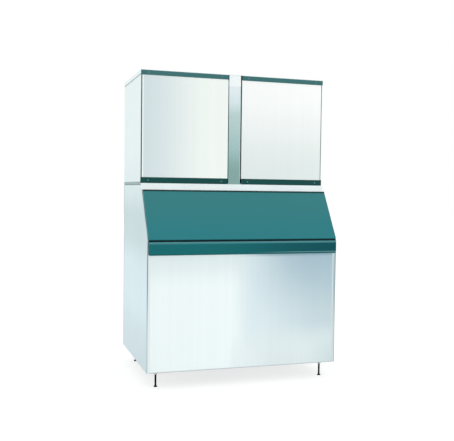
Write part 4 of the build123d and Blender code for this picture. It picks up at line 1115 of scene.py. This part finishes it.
@dataclass(frozen=True)
class ScrewRows:
    """The places of the screws in one upright plane, and how they are turned."""

    name: str
    xs: tuple[float, ...]
    y: float
    zs: tuple[float, ...]
    facing: float
    spin: float

    def moves(self) -> list[Matrix]:
        """Turns each screw's recess on from the one before.

        Returns:
            Where each screw goes.
        """
        face = Matrix.Rotation(math.radians(self.facing), 4, "X")
        return [
            Matrix.Translation((x, self.y, z))
            @ face
            @ Matrix.Rotation(math.radians(self.spin * index), 4, "Z")
            for index, (x, z) in enumerate(product(self.xs, self.zs))
        ]


@dataclass
class Screws:
    """The pan-head screws with their cross recess, in the trims and in the back."""

    palette: Palette
    radius: float = 0.0045
    height: float = 0.0018
    crown_share: float = 0.55
    edge: float = 0.0012
    shank: float = 0.0021
    shank_length: float = 0.0038
    recess_share: float = 0.62
    recess_half: float = 0.0005
    recess_depth: float = 0.0011
    trims: ScrewRows = ScrewRows(
        "strip_screw", (-0.562, -0.088, 0.088, 0.562), -0.186, (1.248, 1.9105), facing=90, spin=37
    )
    back: ScrewRows = ScrewRows(
        "back_screw", (-0.585, -0.2, 0.2, 0.585), 0.424, (1.262, 1.882), facing=-90, spin=53
    )

    def model(self) -> bpy.types.Object:
        """Makes one screw that faces up, with its head's foot at the origin.

        Returns:
            The screw.
        """
        profile = [
            (0.0, self.height),
            (self.radius * self.crown_share, self.height),
            *arc((self.radius - self.edge, self.height - self.edge), self.edge, 80, 0, 4),
            (self.radius, 0.0),
            (self.shank, 0.0),
            (self.shank, -self.shank_length),
            (0.0, -self.shank_length),
        ]
        screw = turned("screw_model", profile, steps=24)
        long, wide = self.radius * self.recess_share, self.recess_half
        for x, y in ((long, wide), (wide, long)):
            low, high = self.height - self.recess_depth, self.height + self.recess_depth
            cut(screw, block("recess", (-x, -y, low), (x, y, high)))
        return smoothed(screw)

    def lay(self, model: bpy.types.Object, rows: ScrewRows) -> list[bpy.types.Object]:
        """Copies the screw to each place of its rows.

        Args:
            model: The screw.
            rows: The rows.

        Returns:
            The copies.
        """
        moves = enumerate(rows.moves(), start=1)
        screws = [copied(model, f"{rows.name}_{number}", move) for number, move in moves]
        for screw in screws:
            self.palette.put(screw, "cabinet", "bright_steel")
        return screws

    def build(self) -> None:
        """Lays all the screws and paints those in the trims."""
        model = self.model()
        in_trims = self.lay(model, self.trims)
        self.lay(model, self.back)
        painted = PAINTED_SCREW.material()
        for screw in in_trims:
            screw.data.materials[0] = painted
        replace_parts(in_trims[0], "trim_screws")
        dropped(model)


@dataclass
class HandleStrip:
    """The full-width strip under the door that fingers hook behind."""

    palette: Palette
    half: float = 0.604
    front: float = -0.440
    top: float = 0.8816
    foot: float = 0.8016
    wall: float = 0.0035
    hook: float = 0.010
    round_top: float = 0.008
    round_foot: float = 0.006
    round_hook: float = 0.002
    tab_share: float = 0.35
    tab_drop: float = 0.003
    seam: float = 0.0005
    corner: float = 0.009
    margin: float = 0.01
    headroom: float = 0.02
    close: float = 0.00001

    def outline(self, back: float, tab_top: float) -> list[Point]:
        """Draws the hooked section, from its foot round the front to its hook.

        Args:
            back: The Y of its back.
            tab_top: The top of the tab that joins it to the door.

        Returns:
            Its corners, as Y and Z.
        """
        inner, ceiling, sill = self.front + self.wall, self.top - self.wall, self.foot + self.wall
        foot, top, hook = self.round_foot, self.round_top, self.round_hook
        return [
            *arc((self.front + foot, self.foot + foot), foot, 270, 180),
            *arc((self.front + top, self.top - top), top, 180, 90),
            (back - self.wall, self.top),
            (back - self.wall * self.tab_share, tab_top - self.seam),
            (back, tab_top - self.tab_drop),
            (back - self.seam, ceiling),
            *arc((inner + top, ceiling - top), top, 90, 180, 4),
            *arc((inner + hook, sill + hook), hook, 180, 270, 3),
            (self.front + self.hook, sill),
            (self.front + self.hook, self.foot),
        ]

    def end_frame(self, back: float, tab_top: float) -> bpy.types.Object:
        """Makes the block with rounded lower ends that the strip is cut to.

        Args:
            back: The Y of the strip's back.
            tab_top: The top of its tab.

        Returns:
            The block.
        """
        low = (-self.half, self.front - self.margin, self.foot)
        slab = block("end_frame", low, (self.half, back + self.margin, tab_top + self.headroom))
        with editing(slab) as mesh:
            bpy.ops.mesh.select_all(action="DESELECT")
            for edge in mesh.edges:
                start, end = (vertex.co for vertex in edge.verts)
                low_edge = max(start.z, end.z) - self.foot < self.close
                edge.select = low_edge and abs(start.x - end.x) < self.close
            bmesh.update_edit_mesh(slab.data)
            bpy.ops.mesh.bevel(offset=self.corner, segments=6, affect="EDGES")
        return slab

    def build(self) -> None:
        """Pulls the hooked outline along the door and rounds its ends."""
        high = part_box("door_handle_strip")[1]
        strip = extruded("handle_strip", self.outline(high.y, high.z), (-self.half, self.half))
        cut(strip, self.end_frame(high.y, high.z), "INTERSECT")
        smoothed(strip)
        self.palette.put(strip, "bin_door", "teal_handle")
        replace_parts(strip, "door_handle_strip")


@dataclass
class DoorGasket:
    """The bellows seal on the back of the door, pulled up ring by ring from one sheet.

    Each ring says how far in and how far up it goes, and the inner half mirrors the outer.
    """

    palette: Palette
    slope_top: Point = (-0.186, 1.235)
    slope_depth: float = 0.240
    slope_height: float = 0.350
    half: float = 0.567
    down: Point = (0.093, 0.407)
    seat: float = 0.005
    crease: float = 50.0
    valley: float = 0.0012
    rising: tuple[Point, ...] = (
        (0.0, 0.0012),
        (0.0012, 0.0004),
        (0.0006, 0.0014),
        (0.0010, 0.0011),
        (0.0020, 0.0004),
        (0.0016, -0.0010),
    )

    def place(self) -> Matrix:
        """Works out the seat's place on the slope.

        Returns:
            The matrix that takes the flat sheet there, with Z towards the mouth.
        """
        slope = math.atan2(self.slope_depth, self.slope_height)
        lean, rise = math.sin(slope), math.cos(slope)
        middle = sum(self.down) / 2
        y = self.slope_top[0] - middle * lean - self.seat * rise
        z = self.slope_top[1] - middle * rise + self.seat * lean
        axes = Matrix(((1, 0, 0), (0, -lean, -rise), (0, rise, -lean))).transposed().to_4x4()
        return Matrix.Translation((0, y, z)) @ axes

    def build(self) -> None:
        """Insets the sheet ring by ring and closes its back."""
        halves = (self.half, (self.down[1] - self.down[0]) / 2, 1)
        falling = [(width, -height) for width, height in reversed(self.rising)]
        sheet = added(bpy.ops.mesh.primitive_plane_add, "seal_sheet", size=2.0)
        with editing(sheet):
            bpy.ops.transform.resize(value=halves, center_override=(0, 0, 0))
            for width, height in (*self.rising, (self.valley, 0.0), *falling):
                bpy.ops.mesh.inset(thickness=width, depth=height, use_even_offset=True)
            bpy.ops.mesh.delete(type="FACE")
            bpy.ops.mesh.select_all(action="DESELECT")
            bpy.ops.mesh.select_non_manifold()
            bpy.ops.mesh.bridge_edge_loops()
            bpy.ops.mesh.select_all(action="SELECT")
            bpy.ops.mesh.normals_make_consistent(inside=False)
        gasket = smoothed(copied(sheet, "gasket_bellows", self.place()), self.crease)
        dropped(sheet)
        self.palette.put(gasket, "bin_door", "grey_rubber")
        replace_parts(gasket, "door_gasket")


@dataclass
class BackFittings:
    """The drain, the water inlet and the cable gland in the machine's back.

    Each is made with Z out of the back sheet, whose face is at 0.
    """

    palette: Palette
    back: float = 0.424
    reach: float = 0.016
    buried: float = 0.015
    spare: float = 0.002
    chamfer: float = 0.0004
    drain_place: Point = (0.0, 0.188)
    drain_bore: float = 0.0125
    drain_thread: Thread = Thread(radius=0.016, depth=0.0009, pitch=0.0023, low=0.0005, high=0.0145)
    collar_radius: float = 0.022
    collar_span: Point = (-0.002, 0.003)
    collar_round: float = 0.001
    collar_overlap: float = 0.0005
    inlet_place: Point = (-0.1525, 1.290)
    inlet_bore: float = 0.007
    inlet_thread: Thread = Thread(radius=0.010, depth=0.0007, pitch=0.0018, low=0.0005, high=0.0145)
    gland_place: Point = (0.122, 1.290)
    gland_bore: float = 0.0065
    gland_radius: float = 0.0105
    gland_round: float = 0.003
    gland_chamfer: float = 0.0008
    grooves: int = 14
    groove_depth: float = 0.0007
    groove_half: float = 0.0005
    groove_foot: float = 0.0072
    nut_edge: float = 0.0035
    nut_thick: float = 0.006
    nut_slope: float = 0.7

    def nut(self, stem: float) -> bpy.types.Object:
        """Makes a hexagon nut with rounded-off corners and a bore.

        Args:
            stem: The radius of the stem through it.

        Returns:
            The nut.
        """
        turn = math.radians(30)
        flat, top = stem + self.nut_edge, self.nut_thick
        corner = flat / math.cos(turn)
        sizes = {"vertices": 6, "radius": corner, "depth": top, "location": (0, 0, top / 2)}
        nut = added(bpy.ops.mesh.primitive_cylinder_add, "nut", **sizes)
        with editing(nut):
            bpy.ops.transform.rotate(value=turn, orient_axis="Z", center_override=(0, 0, 0))
        low, shoulder = -self.spare, top - (corner - flat) * self.nut_slope
        crown = [(0.0, low), (corner, low), (corner, shoulder), (flat, top), (0.0, top)]
        cut(nut, turned("crown", crown, steps=48), "INTERSECT")
        high = top + self.spare
        bore = [(0.0, low), (stem, low), (stem, high), (0.0, high)]
        cut(nut, turned("bore", bore, steps=32))
        return smoothed(nut)

    def pipe(self, bore: float, thread: Thread) -> bpy.types.Object:
        """Turns a threaded pipe end.

        Args:
            bore: Its inner radius.
            thread: The thread outside it.

        Returns:
            The pipe.
        """
        edge = self.chamfer
        profile = [
            (bore, -self.buried),
            (thread.root, -self.buried),
            *thread.profile(),
            (thread.root, self.reach - edge),
            (thread.root - edge, self.reach),
            (bore + edge, self.reach),
            (bore, self.reach - edge),
            (bore, -self.buried),
        ]
        return turned("pipe", profile, steps=36)

    def drain(self) -> bpy.types.Object:
        """Makes the drain: a threaded pipe with its collar.

        Returns:
            The drain.
        """
        inner, rim = self.drain_thread.radius - self.collar_overlap, self.collar_radius
        low, high = self.collar_span
        edge = self.collar_round
        collar = [
            (inner, low),
            (rim, low),
            *arc((rim - edge, high - edge), edge, 0, 90, 4),
            (inner, high),
            (inner, low),
        ]
        pipe = self.pipe(self.drain_bore, self.drain_thread)
        return joined("drain_model", [pipe, turned("collar", collar, steps=48)])

    def inlet(self) -> bpy.types.Object:
        """Makes the brass water inlet: a threaded pipe with its nut."""
        pipe = self.pipe(self.inlet_bore, self.inlet_thread)
        return joined("inlet_model", [pipe, self.nut(self.inlet_thread.radius)])

    def gland(self) -> bpy.types.Object:
        """Makes the cable gland: a cap with grooves down its side, and its nut.

        Returns:
            The gland.
        """
        bore, outer, top = self.gland_bore, self.gland_radius, self.reach
        edge, small = self.gland_round, self.gland_chamfer
        cap = [
            (bore, -self.buried),
            (outer, -self.buried),
            (outer, top - edge),
            *arc((outer - edge, top - edge), edge, 10, 90, 6),
            (bore + small, top),
            (bore, top - small),
            (bore, -self.buried),
        ]
        body = turned("gland_cap", cap, steps=84)
        low = (outer - self.groove_depth, -self.groove_half, self.groove_foot)
        groove = block("groove", low, (outer + self.spare, self.groove_half, top + self.spare))
        angles = [math.tau * index / self.grooves for index in range(self.grooves)]
        grooves = [copied(groove, "groove_copy", Matrix.Rotation(a, 4, "Z")) for a in angles]
        dropped(groove)
        cut(body, joined("grooves", grooves))
        return joined("gland_model", [smoothed(body), self.nut(outer)])

    def fit(self, model: bpy.types.Object, name: str, place: Point, node: str) -> None:
        """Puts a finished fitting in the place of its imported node.

        Args:
            model: The fitting.
            name: Its new name.
            place: Its X and Z.
            node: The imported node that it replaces.
        """
        facing_back = Matrix.Rotation(math.radians(-90), 4, "X")
        move = Matrix.Translation((place[0], self.back, place[1])) @ facing_back
        piece = copied(model, name, move)
        dropped(model)
        self.palette.put(piece, "cabinet", SLOT_OF[node])
        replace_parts(piece, node)

    def build(self) -> None:
        """Builds all three."""
        self.fit(self.drain(), "drain_thread", self.drain_place, "bin_drain_fitting")
        self.fit(self.inlet(), "inlet_thread", self.inlet_place, "water_inlet_fitting")
        self.fit(self.gland(), "gland_ribbed", self.gland_place, "power_cable_gland")


# The studio


@dataclass(frozen=True)
class Lamp:
    """A soft square lamp."""

    name: str
    place: Place
    power: float
    size: float = 3.0


@dataclass
class Studio:
    """The camera, the lamps, the world and the floor."""

    camera_place: Place = (-1.4302, -4.5369, 1.1900)
    yaw: float = 17.642
    pitch: float = -2.409
    roll: float = 0.721
    focal_pixels: float = 711.97
    image_width: int = 454
    sensor: float = 36.0
    view_depth: float = 200.0
    lamps: tuple[Lamp, ...] = (
        Lamp("key", (-2.6, -4.4, 4.2), power=20.0),
        Lamp("fill", (4.2, -3.2, 2.6), power=10.0),
        Lamp("rear", (0.6, 5.0, 3.6), power=16.0),
    )
    lamps_aim: Place = (0.0, 0.0, 1.0)
    world_seen: float = 1.0
    world_light: float = 1.0
    floor_size: float = 60.0
    floor_tones: Point = (0.38, 0.40)
    floor_glow: float = 0.7
    fleck_scale: float = 30.0

    def camera(self) -> None:
        """Sets up the camera where the photo was taken."""
        yaw, pitch, roll = (math.radians(angle) for angle in (self.yaw, self.pitch, self.roll))
        flat = Vector((math.sin(yaw), math.cos(yaw), 0.0))
        forward = flat * math.cos(pitch) + Vector((0.0, 0.0, math.sin(pitch)))
        level = Vector((math.cos(yaw), -math.sin(yaw), 0.0))
        upright = level.cross(forward)
        right = level * math.cos(roll) + upright * math.sin(roll)
        up = upright * math.cos(roll) - level * math.sin(roll)
        lens = bpy.data.cameras.new("photo_camera")
        lens.sensor_fit = "HORIZONTAL"
        lens.sensor_width = self.sensor
        lens.lens = self.focal_pixels * self.sensor / self.image_width
        lens.clip_end = self.view_depth
        camera = bpy.data.objects.new("photo_camera", lens)
        turn = Matrix((right, up, -forward)).transposed().to_4x4()
        camera.matrix_world = Matrix.Translation(self.camera_place) @ turn
        bpy.context.collection.objects.link(camera)
        bpy.context.scene.camera = camera

    def light(self) -> None:
        """Adds the soft lamps, each aimed at the machine."""
        for lamp in self.lamps:
            source = bpy.data.lights.new(lamp.name, "AREA")
            source.energy = lamp.power
            source.size = lamp.size
            holder = bpy.data.objects.new(lamp.name, source)
            sight = Vector(self.lamps_aim) - Vector(lamp.place)
            turn = sight.to_track_quat("-Z", "Y").to_matrix().to_4x4()
            holder.matrix_world = Matrix.Translation(lamp.place) @ turn
            bpy.context.collection.objects.link(holder)

    def seen(self, graph: Graph) -> Signal:
        """Tells the rays that see the background from those that only carry light.

        Args:
            graph: The graph of the floor or the world.

        Returns:
            1 for camera, glossy and transmission rays, and 0 for all others.
        """
        kinds = ("Is Camera Ray", "Is Glossy Ray", "Is Transmission Ray")
        rays = [graph.node("ShaderNodeLightPath", output=kind) for kind in kinds]
        return graph.node("ShaderNodeClamp", inputs={"Value": rays[0] + rays[1] + rays[2]})

    def world(self) -> None:
        """Makes the world white to look at, with a level of its own as a lamp."""
        world = bpy.data.worlds.new("studio")
        bpy.context.scene.world = world
        graph = Graph(world)
        light, white = (
            graph.node("ShaderNodeBackground", inputs={"Color": WHITE, "Strength": level})
            for level in (self.world_light, self.world_seen)
        )
        mixed = graph.node("ShaderNodeMixShader", inputs={0: self.seen(graph), 1: light, 2: white})
        graph.node("ShaderNodeOutputWorld", inputs={"Surface": mixed})

    def floor(self) -> None:
        """Lays the pale floor, which keeps the machine's shadow."""
        floor = added(bpy.ops.mesh.primitive_plane_add, "studio_floor", size=self.floor_size)
        made = bpy.data.materials.new("pale floor")
        graph = Graph(made)
        dark, pale = ((tone, tone, tone) for tone in self.floor_tones)
        colour = graph.blend(graph.noise(self.fleck_scale, detail=2.0), dark, pale)
        paint = graph.node("ShaderNodeBsdfDiffuse", inputs={"Color": colour})
        inputs = {"Color": WHITE, "Strength": self.floor_glow}
        glow = graph.node("ShaderNodeEmission", inputs=inputs)
        lifted = graph.node("ShaderNodeAddShader", inputs={0: paint, 1: glow})
        mixed = graph.node("ShaderNodeMixShader", inputs={0: self.seen(graph), 1: paint, 2: lifted})
        graph.node("ShaderNodeOutputMaterial", inputs={"Surface": mixed})
        floor.data.materials.append(made)

    def build(self) -> None:
        """Sets up the whole studio."""
        bpy.context.scene.view_settings.view_transform = "Standard"
        self.camera()
        self.light()
        self.world()
        self.floor()


def main() -> None:
    """Builds the machine's looks, assembly by assembly."""
    logging.basicConfig(level=logging.INFO, format="%(name)s %(message)s")
    palette = Palette(SLOT_FINISHES)
    Studio().build()
    palette.build()
    Panels(PANEL_FINISHES).build()
    LevellingFeet(palette).build()
    Screws(palette).build()
    HandleStrip(palette).build()
    DoorGasket(palette).build()
    BackFittings(palette).build()


if __name__ == "__main__":
    main()
